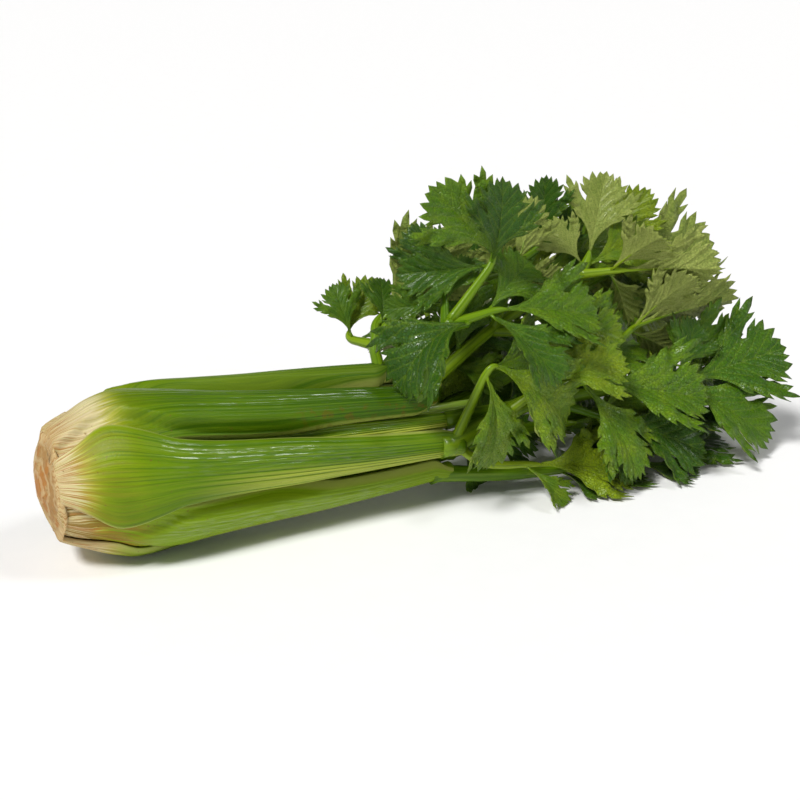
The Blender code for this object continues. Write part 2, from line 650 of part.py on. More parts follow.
def fused(name, meshes, collection):
    """One closed body from these overlapping closed meshes."""
    pieces = bpy.data.collections.new(name + "_pieces")
    bpy.context.scene.collection.children.link(pieces)
    made = new_object(name, meshes[0], collection)
    for mesh in meshes[1:]:
        new_object(name + "_piece", mesh, pieces)
    union = made.modifiers.new("union", "BOOLEAN")
    union.operation = "UNION"
    union.operand_type = "COLLECTION"
    union.collection = pieces
    union.solver = "MANIFOLD"
    apply_modifiers(made)
    for piece in list(pieces.objects):
        bpy.data.objects.remove(piece)
    bpy.data.collections.remove(pieces)
    return made


def apply_modifiers(made):
    """Swap an object's mesh for what its modifiers give."""
    depsgraph = bpy.context.evaluated_depsgraph_get()
    mesh = bpy.data.meshes.new_from_object(made.evaluated_get(depsgraph))
    made.modifiers.clear()
    made.data = mesh


def finish(made, kind):
    """Tidy a body's mesh, smooth its faces and give it its material."""
    shape = bmesh.new()
    shape.from_mesh(made.data)
    bmesh.ops.triangulate(shape, faces=shape.faces)
    bmesh.ops.recalc_face_normals(shape, faces=shape.faces)
    shape.to_mesh(made.data)
    shape.free()
    made.data.shade_smooth()
    made.data.materials.clear()
    made.data.materials.append(material(kind))


def build():
    for old in list(bpy.data.objects):
        bpy.data.objects.remove(old)
    collection = bpy.data.collections.new("celery")
    bpy.context.scene.collection.children.link(collection)
    butt = butt_object(collection)
    apply_modifiers(butt)
    finish(butt, "butt")
    for name in STALKS:
        finish(new_object("stalk_" + name, stalk_mesh(name), collection), "stalk")
    stems, leaflets, heart = plan_leaves()
    for name in LEAVES:
        bodies = [leaflet.on_stem(path, radii) for leaflet, path, radii in leaflets[name]]
        pieces = [mesh_from("leaflet", *body) for body in bodies]
        finish(fused("leaf_" + name, [stems[name], *pieces], collection), "leaf")
    for number, mesh in enumerate(heart):
        finish(new_object("heart_%d" % number, mesh, collection), "heart")


build()
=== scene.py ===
"""The looks of a head of celery, cut at the root and lying on its side.

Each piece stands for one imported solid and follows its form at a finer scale: ribbed stalks that narrow into
their leaf stems, a trimmed butt, and toothed leaflets with veins. The tables and the stalk surfaces are the
part's own, and how each leaflet is held is found by matching its points against its solid's. The head's axis
runs along +X from the cut root end. Lengths are in metres and angles in degrees.
"""

import collections
import functools
import math
import random

import bpy
import numpy as np
from mathutils import Matrix, Vector
from mathutils.geometry import delaunay_2d_cdt
from mathutils.kdtree import KDTree


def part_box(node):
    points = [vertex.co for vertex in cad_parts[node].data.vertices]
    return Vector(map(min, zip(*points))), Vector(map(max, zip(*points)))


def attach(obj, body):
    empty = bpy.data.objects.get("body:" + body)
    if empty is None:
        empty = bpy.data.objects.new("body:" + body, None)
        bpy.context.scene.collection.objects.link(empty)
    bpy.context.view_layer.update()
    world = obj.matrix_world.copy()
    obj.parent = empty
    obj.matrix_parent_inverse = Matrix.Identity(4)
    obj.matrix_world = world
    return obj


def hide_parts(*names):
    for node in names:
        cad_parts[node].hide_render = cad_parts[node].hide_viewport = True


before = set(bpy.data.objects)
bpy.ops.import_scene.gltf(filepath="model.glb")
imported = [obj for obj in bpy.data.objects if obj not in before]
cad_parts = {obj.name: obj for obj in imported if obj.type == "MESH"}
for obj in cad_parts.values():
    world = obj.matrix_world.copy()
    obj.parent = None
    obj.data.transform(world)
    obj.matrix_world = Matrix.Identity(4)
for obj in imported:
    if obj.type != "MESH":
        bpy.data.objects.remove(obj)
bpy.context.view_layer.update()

# Values along the head, as (distance from the cut, value).
HEAD_RADIUS = ((0, 0.027), (0.008, 0.0312), (0.017, 0.0352), (0.027, 0.0395), (0.041, 0.0432),
               (0.059, 0.0438), (0.08, 0.0423), (0.107, 0.0402), (0.135, 0.0388), (0.163, 0.0372),
               (0.192, 0.0352), (0.216, 0.0335))
HALF_WIDTH = ((0, 0.0112), (0.012, 0.019), (0.028, 0.03), (0.045, 0.0252), (0.06, 0.0198),
              (0.08, 0.0178), (0.115, 0.0165), (0.15, 0.0134), (0.185, 0.011), (0.216, 0.0096))
THICKNESS = ((0, 0.0044), (0.02, 0.0068), (0.05, 0.0088), (0.115, 0.0094), (0.216, 0.008))
MARGIN_SHARE = ((0, 0.52), (0.02, 0.34), (0.045, 0.26), (0.08, 0.4), (0.216, 0.55))
SHOULDER_DROP = ((0, 0), (0.03, 0.0004), (0.06, 0.003), (0.115, 0.0062), (0.216, 0.006))

# Each stalk, outermost first: its angle at the butt and at its joint (0 faces -Y, 90 is up), how deep it
# lies under the head's outline at the bulb and above it, its width and wall against an outer stalk's, its
# two ends, and how thick its leaf stem is against the usual one.
Stalk = collections.namedtuple("Stalk", "at_butt at_joint bulb_depth depth width wall start end stem")
STALKS = {
    "front": Stalk(24.5, -8, 0, 0, 1, 1, 0, 0.205, 1.1),
    "upper_back": Stalk(176, 140, 0, 0, 1, 1, 0, 0.196, 0.95),
    "lower_back": Stalk(-81, -126, 0, 0, 1, 1, 0, 0.205, 0.95),
    "upper_front": Stalk(74, 46, -0.0012, 0, 1, 1, 0, 0.193, 0.95),
    "back": Stalk(228, 188, 0, 0, 1, 1, 0, 0.2, 0.95),
    "lower_front": Stalk(-30, -62, 0.0012, 0, 1, 1, 0, 0.207, 0.95),
    "top": Stalk(125, 92, -0.0012, -0.001, 0.95, 0.95, 0, 0.179, 0.6),
    "inner_front": Stalk(42, 18, 0.012, 0.0095, 0.66, 0.75, 0.0165, 0.213, 0.85),
    "inner_top": Stalk(130, 106, 0.0125, 0.012, 0.66, 0.75, 0.0165, 0.209, 0.8),
    "inner_back": Stalk(222, 200, 0.0125, 0.0145, 0.66, 0.75, 0.0165, 0.212, 0.8),
    "inner_bottom": Stalk(-50, -72, 0.012, 0.011, 0.66, 0.75, 0.0165, 0.213, 0.8),
}

# Where a stalk leaves its depth at the bulb and how soon it is at the one above, how its shoulders and wall
# fall off towards the margins, and how it lies under the stalks that wrap it.
BULB_END = 0.05
BULB_FADE = 0.09
SHOULDER_POWER = 2.4
WALL_POWER = 2.2
LAYER_GAP = 0.0007
LAYER_REACH = 6.5
LAYER_BLEND = 8
INNER_COLUMNS = 6
FLOOR_GAP = 0.0001

# Stalk skin: the step between rings, the ribs across it, samples a rib and how many of them the inner side
# keeps, how they crowd towards the margins, how much of the wall rounds off there, and how the ribs grow,
# sway and end.
RING_STEP = 0.0028
OUTER_RIBS = 7
INNER_RIBS = 5
RIB_SAMPLES = 16
INNER_STRIDE = 4
MARGIN_CROWDING = 0.35
MARGIN_ROUND = 0.12
RIB_DEPTH = 0.0009
RIB_GROWTH = ((0, 0.3), (0.012, 0.36), (0.05, 0.55), (0.09, 0.85), (0.17, 0.95), (0.21, 0.8))
RIB_SWAY = 0.006
RIB_MARGIN = 0.08
INNER_RIB = 0.3

# The collar from a stalk to its leaf stem: its rings as (distance past the joint, how round), their size
# against the stem's, the last one's against the others', and what each keeps of the rib heights before it.
COLLAR = ((0.002, 0.12), (0.0045, 0.3), (0.007, 0.5), (0.0095, 0.72), (0.012, 0.9), (0.0135, 1.0))
COLLAR_FIT = 0.97
COLLAR_END = 0.85
COLLAR_RIB_FADE = 0.9

# How far the cut face bulges, and the heart's stalks: each one's angle, distance from the axis and upper
# end.
CORE_DOME = 0.0042
HEART_STEMS = ((20, 0.0058, 0.232), (140, 0.0058, 0.246), (260, 0.0058, 0.222))
HEART_STEM_RADIUS = 0.0042
HEART_START = 0.018

# Leaves: for each stalk, the points of its leaf stem beyond the joint, and its branches. A branch is the
# leaf-stem point it grows from (0 is the joint), its own points, where its end leaflet would reach if it
# were flat, the way that leaflet's upper face looks, the size of the side leaflet on either side against
# it, and how far it droops. Points are (along the axis from the cut, sideways from the axis, height above
# the surface).
LEAVES = {
    "front": (((0.253, -0.027, 0.052), (0.298, -0.023, 0.061)), (
        (0, ((0.231, -0.038, 0.085),), (0.284, -0.056, 0.053), (-0.1, -0.85, 0.5), (0.83, 0.83), 40),
        (0, ((0.231, -0.034, 0.026), (0.262, -0.034, 0.02)),
         (0.322, -0.04, 0.012), (0, -0.6, 0.8), (0.77, 0.5), 10),
        (2, ((0.304, -0.026, 0.061),), (0.374, -0.046, 0.043), (0.1, -0.75, 0.65), (0.95, 0.83), 12),
        (2, ((0.33, -0.006, 0.07), (0.352, 0.003, 0.079)),
         (0.424, 0.006, 0.09), (0.2, 0.85, 0.45), (0.66, 0.66), 8),
        (1, ((0.266, -0.036, 0.066),), (0.312, -0.046, 0.082), (-0.1, -0.8, 0.6), (0.66, 0), 20),
    )),
    "upper_front": (((0.203, -0.023, 0.09), (0.216, -0.021, 0.106)), (
        (2, ((0.246, -0.017, 0.136),), (0.208, -0.022, 0.177), (-0.35, -0.9, 0.2), (0.88, 0.88), 15),
        (2, ((0.242, -0.026, 0.11),), (0.302, -0.038, 0.108), (0.1, -0.75, 0.65), (0.88, 0.88), 22),
        (2, ((0.222, -0.033, 0.107),), (0.164, -0.052, 0.114), (0.2, -0.35, 0.92), (0, 0), 105),
        (2, ((0.219, -0.008, 0.116),), (0.201, -0.01, 0.153), (-0.4, -0.9, 0.1), (0.77, 0.66), 10),
    )),
    "top": (((0.186, 0.01, 0.09), (0.202, 0.022, 0.102), (0.285, 0.036, 0.112)), (
        (1, ((0.176, 0.028, 0.088),), (0.196, 0.034, 0.12), (-0.5, -0.8, 0.3), (0.83, 0.83), 15),
        (1, ((0.194, 0.012, 0.099),), (0.224, 0.012, 0.118), (-0.5, -0.8, 0.2), (0.88, 0.88), 20),
        (3, ((0.305, 0.034, 0.124),), (0.304, 0.032, 0.165), (-0.45, -0.85, 0.2), (0.83, 0.83), 10),
        (3, ((0.3, 0.028, 0.112),), (0.35, 0.02, 0.13), (-0.2, -0.8, 0.5), (0.83, 0.83), 15),
    )),
    "inner_top": (((0.262, 0.008, 0.09), (0.322, 0.014, 0.112)), (
        (2, ((0.326, 0.016, 0.119),), (0.338, 0.018, 0.168), (-0.4, -0.88, 0.2), (0.66, 0.94), 10),
        (2, ((0.338, 0.002, 0.114),), (0.394, -0.004, 0.108), (0.2, 0.8, 0.5), (0.77, 0.77), 15),
        (1, ((0.268, 0.002, 0.12),), (0.286, 0.0, 0.16), (0.3, 0.9, 0.2), (0.66, 0.66), 10),
        (1, ((0.278, -0.006, 0.086),), (0.33, -0.02, 0.088), (-0.1, -0.8, 0.6), (0.77, 0.77), 20),
    )),
    "inner_front": (((0.29, -0.01, 0.046), (0.37, -0.014, 0.049)), (
        (2, ((0.376, -0.016, 0.046),), (0.447, -0.022, 0.059), (0.05, -0.75, 0.65), (0.5, 0.95), 8),
        (1, ((0.314, -0.026, 0.036),), (0.372, -0.048, 0.018), (0.1, -0.7, 0.7), (0.77, 0.66), 12),
        (2, ((0.374, -0.004, 0.06),), (0.424, -0.006, 0.07), (-0.1, -0.7, 0.7), (0.72, 0.66), 8),
    )),
    "lower_front": (((0.262, -0.022, 0.011), (0.332, -0.026, 0.0085)), (
        (2, ((0.338, -0.027, 0.0085),), (0.402, -0.018, 0.012), (0.05, -0.45, 0.9), (0.83, 0.66), 8),
        (1, ((0.286, -0.032, 0.012),), (0.342, -0.036, 0.01), (0, -0.4, 0.9), (0.77, 0.55), 8),
    )),
    "upper_back": (((0.262, 0.042, 0.078), (0.345, 0.046, 0.094)), (
        (2, ((0.356, 0.042, 0.1),), (0.434, 0.034, 0.108), (-0.3, -0.75, 0.55), (0.83, 0.88), 8),
        (2, ((0.35, 0.042, 0.112),), (0.38, 0.036, 0.151), (-0.35, -0.85, 0.3), (0.83, 0.77), 8),
        (1, ((0.294, 0.06, 0.09),), (0.346, 0.086, 0.104), (-0.1, 0.4, 0.9), (0.77, 0.77), 25),
        (0, ((0.216, 0.044, 0.08),), (0.252, 0.07, 0.094), (-0.2, 0.4, 0.9), (0.72, 0.72), 30),
    )),
    "back": (((0.262, 0.048, 0.044), (0.335, 0.058, 0.05)), (
        (2, ((0.342, 0.058, 0.051),), (0.418, 0.064, 0.062), (0.1, 0.75, 0.65), (0.83, 0.83), 12),
        (1, ((0.29, 0.068, 0.04),), (0.346, 0.088, 0.034), (0, 0.65, 0.75), (0.72, 0.72), 18),
        (0, ((0.224, 0.05, 0.05),), (0.272, 0.072, 0.056), (0, 0.6, 0.8), (0, 0.66), 30),
    )),
    "lower_back": (((0.262, 0.028, 0.011), (0.33, 0.032, 0.009)), (
        (2, ((0.336, 0.032, 0.009),), (0.408, 0.03, 0.007), (0, 0.2, 0.98), (0.83, 0.83), 8),
        (1, ((0.286, 0.05, 0.0095),), (0.345, 0.072, 0.009), (0, 0.2, 0.98), (0.72, 0.72), 8),
    )),
    "inner_back": (((0.29, 0.018, 0.058), (0.362, 0.02, 0.072)), (
        (2, ((0.37, 0.02, 0.078),), (0.432, 0.022, 0.104), (-0.2, -0.6, 0.75), (0.83, 0.77), 8),
        (1, ((0.3, 0.01, 0.068),), (0.35, 0.002, 0.086), (-0.2, -0.75, 0.6), (0.77, 0.77), 12),
        (0, ((0.232, 0.016, 0.074),), (0.272, 0.012, 0.098), (-0.3, -0.8, 0.5), (0.77, 0.77), 20),
    )),
    "inner_bottom": (((0.29, 0.002, 0.027), (0.36, -0.002, 0.026)), (
        (2, ((0.366, -0.001, 0.029),), (0.43, 0.002, 0.04), (0, -0.6, 0.8), (0.88, 0.77), 8),
        (1, ((0.3, -0.01, 0.03),), (0.354, -0.022, 0.036), (-0.1, -0.7, 0.7), (0.72, 0.72), 10),
        (0, ((0.236, 0.002, 0.034),), (0.284, -0.004, 0.026), (0, -0.8, 0.6), (0.77, 0.77), 15),
    )),
}

# Leaf stems and branches: radii at their ends, a stem's first bend past its joint and where its tube
# starts, how far back along the stem its branches start, each behind the last, their sides, and the groove
# down each tube.
STEM_RADII = (0.0062, 0.0034)
BRANCH_RADII = (0.0034, 0.0019)
STEM_START = 0.006
STEM_OVERLAP = 0.0005
BRANCH_BACK = 0.0022
BRANCH_STEP = 0.0013
STEM_SIDES = 28
BRANCH_SIDES = 16
GROOVE_WIDTH = 0.55
GROOVE_DEPTH = 2.2

# Side leaflets: their angle to the end leaflet, how far back from it they grow, how much they roll, and how
# much more they droop. Every leaflet: its own stem's length and radius, how near its corners have to be to
# its solid's points, two of those corners, and its least height above the surface at the midrib and towards
# the margin.
SIDE_ANGLE = 48
SIDE_OFFSET = 0.006
SIDE_ROLL = 14
SIDE_DROOP = 12
LEAFLET_STALK = 0.005
SIDE_RADIUS = 0.0012
BLADE_THICKNESS = 0.00075
LOBE_TIP = (0.75, 0.485)
END_LOBE_TIP = (0.8, 0.3)
BLADE_GAP = 0.0006
MARGIN_GAP = 0.004

# Ways a leaflet may be turned, as (pitch, yaw, roll), and all the ways it may be held, with its size.
WAYS = ((9, 0, 0), (-9, 0, 0), (0, 12, 0), (0, -12, 0), (0, 0, 18), (0, 0, -18), (18, 0, 0), (-18, 0, 0),
        (12, 18, 12), (12, -18, -12), (-12, 18, -12), (-12, -18, 12), (0, 28, 20), (0, -28, -20), (26, 0, 25),
        (26, 0, -25), (-26, 0, 25), (-26, 0, -25))
TRIES = [(0, 0, 0, 1), *[(*way, size) for size in (1, 0.86, 0.72, 0.58, 0.47) for way in WAYS]]

# Where the head's axis lies: the middle of the butt, whose domed cut face reaches a little past the cut.
BUTT_LOW, BUTT_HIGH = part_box("butt")
CUT_X = round(BUTT_LOW.x + CORE_DOME, 4)
AXIS_Y = round((BUTT_LOW.y + BUTT_HIGH.y) / 2, 4)
AXIS_Z = round((BUTT_LOW.z + BUTT_HIGH.z) / 2, 4)

# Butt: its end's profile as (distance from the cut, radius), and the knife's chops across it: the way each
# one faces round the head's axis, its slope, and how far from the cut it would meet the axis.
BUTT_PROFILE = ((-0.0042, 0), (-0.0041, 0.004), (-0.0038, 0.0085), (-0.0032, 0.0135), (-0.0024, 0.0185),
                (-0.0014, 0.0225), (-0.0003, 0.025), (0.001, 0.0268), (0.0026, 0.0276), (0.0036, 0.0262),
                (0.004, 0.0225), (0.0042, 0))
CHOPS = ((75, 0.34, -0.0068), (15, 0.22, -0.005), (-50, 0.3, -0.0056), (-105, 0.42, -0.008),
         (135, 0.4, -0.0078), (195, 0.26, -0.0054), (250, 0.3, -0.006))
CHOP_REACH = 0.014
BUTT_SIDES = 144
BUTT_TIP = 0.0004

# The butt's rough skin: between which radii it starts, the waves it may have round it, how far they go
# outwards and along the axis, and how its points turn from ring to ring.
BUTT_ROUGH_FROM = (0.012, 0.026)
BUTT_WAVES = (3, 5, 7, 11, 17)
BUTT_WAVE = 0.016
BUTT_STEP = 0.0007
BUTT_TWIST = 0.02

# A flat leaflet, as shares of its length: half of its toothed outline past which it is mirrored, how many
# of those points are the plain wedge, how far the others stray, its tip, and the veins of one half.
FINE_HALF = (
    (0, 0.018), (0.12, 0.036), (0.22, 0.081), (0.3, 0.138), (0.36, 0.2), (0.455, 0.342),
    (0.466, 0.284), (0.575, 0.452), (0.574, 0.384), (0.712, 0.534), (0.69, 0.44), (0.845, 0.52),
    (0.752, 0.402), (0.822, 0.38), (0.704, 0.306), (0.645, 0.242), (0.594, 0.188), (0.665, 0.206),
    (0.79, 0.332), (0.766, 0.254), (0.908, 0.304), (0.85, 0.214), (0.988, 0.186), (0.924, 0.118),
    (1.018, 0.076), (0.98, 0.042),
)
WEDGE_POINTS = 5
STRAY = 0.013
TIP = 1.045
VEINS = (
    ((0.08, 0.002), (0.25, 0.064), (0.44, 0.22), (0.61, 0.375), (0.76, 0.49)),
    ((0.31, 0.115), (0.39, 0.205), (0.432, 0.29)),
    ((0.42, 0.205), (0.48, 0.31), (0.522, 0.4)),
    ((0.52, 0.295), (0.59, 0.4), (0.64, 0.478)),
    ((0.47, 0.245), (0.62, 0.315), (0.78, 0.402)),
    ((0.22, 0.002), (0.39, 0.078), (0.55, 0.168)),
    ((0.38, 0.002), (0.57, 0.125), (0.73, 0.285)),
    ((0.53, 0.002), (0.7, 0.12), (0.852, 0.29)),
    ((0.67, 0.002), (0.81, 0.09), (0.942, 0.19)),
    ((0.81, 0.002), (0.91, 0.042), (0.99, 0.086)),
)

# How far teeth bow and for which length of side, how far veins bow, where the midrib ends, how wide the
# veins and the quilting beside them are, and the spacing of points between the veins and along them.
TOOTH_BOW = 0.1
TOOTH_SIDE = 0.1
VEIN_BOW = 0.012
MIDRIB_END = 1.02
VEIN_WIDTH = 0.0075
QUILT_WIDTH = 0.03
PATTERN_STEP = 0.032
VEIN_STEP = PATTERN_STEP * 0.8

# Blades: how many patterns they share, the seeds of those turned over, their thickness, how near the edge
# they thin and pale, and how high veins stand, and quilting, ripples and curl as shares of a leaflet's
# length.
VARIANTS = 5
TURNED_OVER = (300, 303, 600, 603)
FINE_WALL = 0.00055
THIN_MARGIN = 0.03
PALE_MARGIN = 0.035
VEIN_RIDGE = 0.00045
QUILT = 0.014
RIPPLE = 0.021
CURL = 0.08

# The midrib under a blade as (share of its length, radius) for a leaflet of this length, how much thicker a
# longer one's may be, and how far before its end a branch starts to bend into it.
MIDRIB = ((0.0, 0.00105), (0.06, 0.001), (0.14, 0.00085), (0.26, 0.00062), (0.42, 0.00042), (0.6, 0.00022))
MIDRIB_LENGTH = 0.06
MIDRIB_LIMIT = 1.15
BEND = 0.007

# How yellow each leaf's green is, from 0 for deep green to 1 for yellow-green.
LEAF_TONES = {
    "front": 0.66, "upper_front": 0.26, "top": 0.5, "inner_top": 0.72, "inner_front": 0.44,
    "lower_front": 0.2, "upper_back": 0.78, "back": 0.5, "lower_back": 0.4, "inner_back": 0.42,
    "inner_bottom": 0.36,
}
TONE_RANGE = 0.36

# How bright each stalk's skin is, from 0 for a deep green in painted shade to 1 for a bright green in painted
# light with a stained foot.
STALK_TONE_AND_LIGHT = {
    "front": 0.5, "upper_front": 0.25, "top": 0.33, "lower_front": 1.0, "upper_back": 0.45, "back": 0.5,
    "lower_back": 0.6, "inner_front": 0.8, "inner_top": 0.8, "inner_back": 0.8, "inner_bottom": 0.85,
}
# How much further up a stalk's pale foot reaches, where 1 is 21 mm, and the same for the stalks not named.
BLANCHED = {"front": -0.08, "upper_front": 0.85, "top": 0.9, "lower_front": 0.15}
USUAL_BLANCHED = 0.5

# Small leaflets along the leaf stems, in the scene alone: how far along its stem each grows, where its tip
# would reach if it were flat, the way its upper face looks, and its droop.
SPRIGS = {
    "top": (
        (0.5, (0.236, 0.014, 0.146), (0.4, 0.8, 0.3), 20),
        (0.85, (0.268, 0.026, 0.136), (-0.4, -0.85, 0.3), 15),
        (1.0, (0.304, 0.042, 0.08), (-0.4, -0.85, 0.3), 10),
    ),
    "upper_back": (
        (0.76, (0.318, 0.053, 0.13), (-0.4, -0.85, 0.3), 12),
        (0.62, (0.292, 0.052, 0.124), (-0.4, -0.85, 0.3), 12),
        (0.71, (0.282, 0.051, 0.046), (-0.3, -0.9, 0.3), 10),
    ),
    "lower_back": (
        (0.67, (0.282, 0.037, 0.055), (-0.3, -0.9, 0.2), 8),
    ),
    "inner_top": (
        (0.22, (0.248, 0.008, 0.122), (-0.3, -0.85, 0.3), 15),
        (0.28, (0.27, 0.024, 0.068), (-0.3, -0.9, 0.3), 10),
        (0.5, (0.286, 0.03, 0.066), (-0.2, -0.9, 0.3), 10),
    ),
    "inner_back": (
        (0.16, (0.254, 0.03, 0.048), (-0.2, -0.9, 0.4), 10),
        (0.45, (0.29, 0.03, 0.036), (-0.2, -0.9, 0.4), 10),
        (0.06, (0.264, 0.034, 0.082), (-0.3, -0.9, 0.3), 8),
        (0.1, (0.246, 0.036, 0.05), (-0.3, -0.9, 0.3), 8),
    ),
}
SPRIG_SEED = 700

# Camera: its angle round the head and above the surface, its distance, its lens's angle, the point it looks
# at and its shift.
CAMERA_AZIMUTH = -27
CAMERA_ELEVATION = 20
CAMERA_DISTANCE = 0.83
CAMERA_LENS_ANGLE = 30
CAMERA_TARGET = Vector((CUT_X + 0.21, AXIS_Y, 0.043))
CAMERA_SHIFT = (-0.02875, 0.02625)
FLOOR_SIZE = 60

# Lights: azimuth, elevation, how wide the light is in degrees, strength, and colour.
LIGHTS = {
    "key": (-62, 50, 16, 3.3, (1.0, 0.99, 0.98)),
    "fill": (50, 54, 14, 0.65, (0.99, 0.995, 1.0)),
}
LIGHTS_CENTRE = Vector((0.02, 0, 0.05))
# The world's light from above, and between which heights it fades to that from the horizon's white.
WORLD_LIGHT = 0.15
HORIZON_FADE = (0.2, 0.3)

# Colours of a stalk's skin from its cut foot to its joint, and how its two kinds of streaks vary along it,
# across it and in detail.
FOOT_TO_JOINT = (
    (0.0, (0.42, 0.28, 0.115)), (0.05, (0.58, 0.49, 0.275)), (0.14, (0.63, 0.56, 0.31)),
    (0.16, (0.46, 0.43, 0.07)), (0.185, (0.26, 0.32, 0.003)), (0.29, (0.145, 0.245, 0.001)),
    (0.4, (0.105, 0.205, 0.001)), (0.83, (0.088, 0.18, 0.001)), (1.0, (0.105, 0.205, 0.0015)),
)
BROAD_STREAKS = (14, 13, 4)
FINE_STREAKS = (45, 42, 3)

# Colours of a leaflet's upper and lower faces and of its stem, from deep green to yellow-green, and of the
# heart's stalks from their feet up.
LEAF_GREENS = ((0.0, (0.022, 0.084, 0.0004)), (0.3, (0.044, 0.134, 0.0006)), (0.6, (0.1, 0.21, 0.0018)),
               (1.0, (0.245, 0.335, 0.008)))
UNDER_GREENS = ((0.0, (0.115, 0.19, 0.014)), (0.5, (0.24, 0.315, 0.046)), (1.0, (0.4, 0.455, 0.105)))
STEM_GREENS = ((0.0, (0.05, 0.13, 0.001)), (0.6, (0.115, 0.215, 0.002)), (1.0, (0.2, 0.29, 0.008)))
HEART_GREENS = ((0.0, (0.6, 0.56, 0.26)), (0.5, (0.42, 0.48, 0.1)), (1.0, (0.22, 0.36, 0.03)))
GREEN_FLESH = {"Subsurface_Weight": 0.06, "Subsurface_Radius": (0.7, 1.0, 0.15), "Subsurface_Scale": 0.003}
TAN_FLESH = {"Subsurface_Weight": 0.06, "Subsurface_Radius": (1.0, 0.6, 0.3), "Subsurface_Scale": 0.003}

# What a mesh's points carry for its materials.
VALUES = ("along", "across", "rib", "side", "vein", "rim", "tone", "pale")


def curve_through(pairs):
    """A smooth function through (distance, value) pairs, flat outside them and never past their values."""
    xs, ys = np.array(pairs, float).T
    steps = np.diff(ys) / np.diff(xs)
    slopes = np.zeros(len(xs))
    same_way = steps[:-1] * steps[1:] > 0
    slopes[1:-1][same_way] = 2 / (1 / steps[:-1][same_way] + 1 / steps[1:][same_way])
    slopes[0], slopes[-1] = steps[0], steps[-1]

    def value(x):
        x = min(max(x, xs[0]), xs[-1])
        i = min(int(np.searchsorted(xs, x, "right")) - 1, len(xs) - 2)
        h = xs[i + 1] - xs[i]
        t = (x - xs[i]) / h
        return float(
            ys[i] * (1 + 2 * t) * (1 - t) ** 2
            + h * slopes[i] * t * (1 - t) ** 2
            + ys[i + 1] * t * t * (3 - 2 * t)
            + h * slopes[i + 1] * t * t * (t - 1)
        )

    return value


head_radius = curve_through(HEAD_RADIUS)
half_width = curve_through(HALF_WIDTH)
thickness = curve_through(THICKNESS)
margin_share = curve_through(MARGIN_SHARE)
shoulder_drop = curve_through(SHOULDER_DROP)
rib_growth = curve_through(RIB_GROWTH)


def smooth_step(x):
    x = np.clip(x, 0, 1)
    return x * x * (3 - 2 * x)


def smooth_between(x, low, high):
    """0 below low, 1 above high, and smooth between them."""
    return smooth_step((x - low) / (high - low))


def stalk_number(name):
    return list(STALKS).index(name)


def stalk_angle(name, s):
    """The angle of a stalk's middle round the head's axis, in radians. The stalks twist as they rise."""
    stalk = STALKS[name]
    return math.radians(stalk.at_butt + (stalk.at_joint - stalk.at_butt) * s / STALKS["front"].end)


def stalk_reach(name, s):
    """The stalk's own outer radius at its middle, and half the angle that it spans."""
    stalk = STALKS[name]
    rise = smooth_step((s - BULB_END) / BULB_FADE)
    radius = head_radius(s) - (stalk.bulb_depth + (stalk.depth - stalk.bulb_depth) * rise)
    return radius, stalk.width * half_width(s) / radius


@functools.cache
def inner_corners(name, s):
    """The corners of a stalk's inner side at this station, as (angles, radii)."""
    angles = stalk_angle(name, s) + stalk_reach(name, s)[1] * np.linspace(-1, 1, INNER_COLUMNS)
    return angles, stalk_surface(name, s, angles)[1]


def inner_side(name, s, angles):
    """The radius of the straight-sided inner side at these angles, taken at its ends beyond them."""
    corners, radii = inner_corners(name, s)
    angles = np.clip(angles, corners[0], corners[-1])
    i = np.clip(np.searchsorted(corners, angles, "right") - 1, 0, len(corners) - 2)
    a, b, near, far = corners[i], corners[i + 1], radii[i], radii[i + 1]
    return near * far * np.sin(b - a) / (near * np.sin(angles - a) + far * np.sin(b - angles))


def stalk_surface(name, s, angles):
    """Outer and inner radius of a stalk at these angles, pressed inside the stalks that wrap it."""
    radius, half = stalk_reach(name, s)
    t = np.clip((angles - stalk_angle(name, s)) / half, -1, 1)
    outer = radius - shoulder_drop(s) * np.abs(t) ** SHOULDER_POWER
    for other in list(STALKS)[:stalk_number(name)]:
        other_middle, other_half = stalk_angle(other, s), stalk_reach(other, s)[1]
        away = (angles - other_middle + math.pi) % (2 * math.pi) - math.pi
        beyond = np.abs(away) - other_half - math.radians(LAYER_REACH)
        cover = smooth_step(1 - beyond / math.radians(LAYER_BLEND))
        under = inner_side(other, s, other_middle + away) - LAYER_GAP
        outer = outer - np.maximum(outer - under, 0) * cover
    margin = margin_share(s)
    wall = STALKS[name].wall * thickness(s) * (margin + (1 - margin) * (1 - np.abs(t) ** WALL_POWER))
    return outer, outer - wall


def chopped(s, angles, radii):
    """How far from the cut these points lie once the knife's chops have taken what was beyond them."""
    depth = np.full_like(radii, -1.0)
    for facing, slope, start in CHOPS:
        depth = np.maximum(depth, start + slope * radii * np.cos(angles - math.radians(facing)))
    return s + np.maximum(depth - s, 0) * smooth_step(1 - s / CHOP_REACH)


def head_points(s, angles, radii):
    """Points at these angles and radii round the head's axis, pressed flat where the head lies down."""
    heights = AXIS_Z + radii * np.sin(angles)
    across = AXIS_Y - radii * np.cos(angles)
    return np.stack([CUT_X + chopped(s, angles, radii), across, np.maximum(heights, FLOOR_GAP)], -1)


def placed(point):
    """A point of the LEAVES or SPRIGS table in the part's frame."""
    return Vector((CUT_X + point[0], AXIS_Y + point[1], point[2]))


def joint_of(name):
    """The middle of a stalk's upper end, where its leaf grows on."""
    end = STALKS[name].end
    middle = np.array([stalk_angle(name, end)])
    outer, inner = stalk_surface(name, end, middle)
    return Vector(head_points(end, middle, (outer + inner) / 2)[0])


# Meshes


def add_object(name, data):
    made = bpy.data.objects.new(name, data)
    bpy.context.scene.collection.objects.link(made)
    return made


